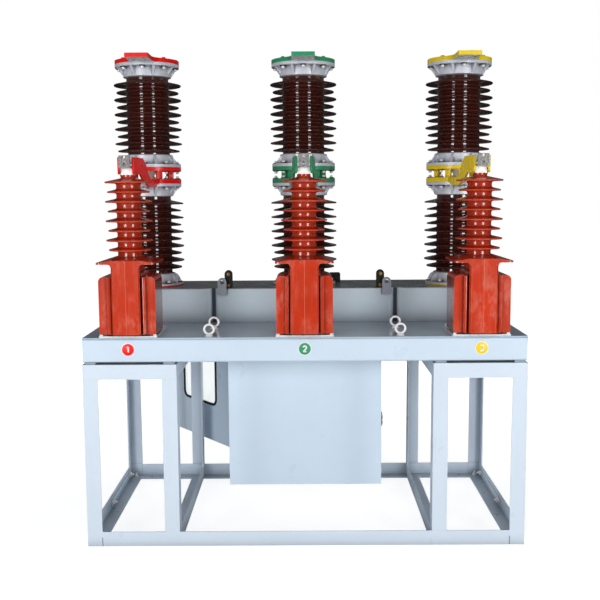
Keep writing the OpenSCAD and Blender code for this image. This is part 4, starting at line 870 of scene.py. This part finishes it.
door_holes = [(x * mm, 4 * mm, z * mm) for x in (34, 52) for z in (331, 347, 618, 634)]
piece("door_hinge_screws", [on_door(spread(screw, door_holes, (0, 1, 0)))], white_zinc,
      body="door")
glass = finish("window_glass", (0.93, 0.97, 0.98, 1), 0.03, gloss=(5, 0.01), grain=(20, 0.02),
               Transmission_Weight=1.0, IOR=1.45)
coat(glass, "door_window")

# ---- spring drive ----
# Two plated side plates on tie rods carry the main shaft, its ratchet wheel and cam. A closing
# spring of black wire hangs from a crank on each side, and a motor under them charges both.
def tube(path, radius, across, sides=10):
    """A round wire along a path: at each point a circle of the wire's radius, in the plane of
    the given direction across the path and the direction square to it and to the path. The
    circle shrinks to a point at both ends."""
    along = np.gradient(path, axis=0)
    along /= np.linalg.norm(along, axis=1, keepdims=True)
    side = across - (across * along).sum(1, keepdims=True) * along
    side /= np.linalg.norm(side, axis=1, keepdims=True)
    third = np.cross(along, side)
    angle = np.arange(sides) / sides * TAU
    size = np.full(len(path), radius)
    size[[0, -1]] = 1e-5
    ring = (np.cos(angle)[None, :, None] * side[:, None]
            + np.sin(angle)[None, :, None] * third[:, None])
    return sheet(path[:, None] + ring * size[:, None, None], wrap_v=True)


# The coil's radius draws in over half a turn at both ends, and a hook of open ring stands on
# each end.
spring_low, spring_high, spring_x = 383 * mm, 575 * mm, 188 * mm
shaft_y = -5 * mm
coils, run_out = 14, 0.55
hook_space = 18.6 * mm
t = np.linspace(-run_out, coils + run_out, 15 * 28)
wind = np.clip(t, 0, coils)
inward = np.clip(np.maximum(-t, t - coils) / run_out, 0, 1)
coil_r = 27.5 * mm * (1 - 0.85 * inward)
pitch_run = spring_high - spring_low - 2 * hook_space
coil = np.stack([coil_r * np.cos(t * TAU), coil_r * np.sin(t * TAU),
                 spring_low + hook_space + wind / coils * pitch_run], 1)
radial = np.stack([np.cos(t * TAU), np.sin(t * TAU), t * 0], 1)
hook_turn = np.linspace(-0.33, 0.83, 40) * TAU
hook_r = 11.9 * mm
hook = np.stack([hook_turn * 0, hook_r * np.cos(hook_turn), hook_r * np.sin(hook_turn)], 1)
springs = []
for sx in (-1, 1):
    middle = np.array((sx * spring_x, shaft_y, 0))
    springs.append(tube(coil + middle, 4.5 * mm, radial))
    for z in (spring_low, spring_high):
        springs.append(tube(hook + middle + (0, 0, z), 4.3 * mm,
                            np.broadcast_to((1.0, 0, 0), hook.shape)))
black_paint = finish("black_paint", tone(36, 36, 39), 0.32, cloud=(30, 0.15), grain=(300, 0.06))
coil_springs = piece("closing_springs", springs, black_paint)
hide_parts("mechanism_springs")

# The shaft is ground steel, and a nut on a washer holds each end of the four tie rods.
steel = finish("ground_steel", tone(196, 197, 200), 0.26, metal=0.9, cloud=(60, 0.10),
               grain=(600, 0.06), stretch=(8, 1, 1))
coat(steel, "mechanism_shaft")
nut = hex_bolt(13 * mm, 6 * mm, 9 * mm, 4 * mm)
plate_face, tie_in = 118 * mm, 24 * mm
tie_y = (-130 * mm + tie_in, 120 * mm - tie_in)
tie_z = (363 * mm + tie_in, 753 * mm - tie_in)
nuts = [spread(nut, [(sx * plate_face, y, z) for y in tie_y for z in tie_z], (sx, 0, 0))
        for sx in (-1, 1)]
piece("tie_rod_nuts", nuts, zinc)

# The motor is cast with cooling fins and painted, and a cap closes its end.
# Painted shade darkens the motor's corners.
motor_paint = finish("motor_paint", tone(98, 106, 114), 0.36, cloud=(16, 0.06),
                     grain=(240, 0.12), corner_shade=(tone(50, 54, 60), 0.5, 0.02))
coat(motor_paint, "charging_motor")
motor_z = 236 * mm
fin_rows = 14 + np.arange(8)[:, None] * 9 + np.array([0, 0.6, 3.0, 3.6])
fins = lathe(np.concatenate([[41], np.tile([42, 43.6, 43.6, 42], 8), [41]]) * mm,
             np.concatenate([[14], fin_rows.ravel(), [82]]) * mm, 48)
cap = lathe(np.array([0, 30, 33, 33, 26, 12, 0]) * mm,
            np.array([0, 0, 1, 4, 6, 6.4, 6.4]) * mm, 32)
motor_end = 123.4 * mm
piece("motor_fins", [spread(fins, [(0, shaft_y, motor_z)], outward),
                     spread(cap, [(motor_end, shaft_y, motor_z)], outward)],
      motor_paint)

# Cream plastic terminals on a rail, each with two brass-coloured screws. The plastic's paler edges
# are painted highlights.
cream = finish("cream_plastic", tone(214, 208, 188), 0.4, cloud=(40, 0.05), grain=(300, 0.05),
               edge=(1.0, tone(232, 228, 214), 0.5))
coat(cream, "terminal_strip")
box_foot, box_h, clips, clip_h = 183 * mm, 573 * mm, 12, 22 * mm
clip_z = box_foot + (box_h - clips * clip_h) / 2 + (np.arange(clips) + 0.5) * clip_h
clip_x = -278.2 * mm
piece("terminal_screws", [spread(screw, [(clip_x, y * mm, z) for y in (-16, 2) for z in clip_z],
                                 outward)], yellow_zinc)
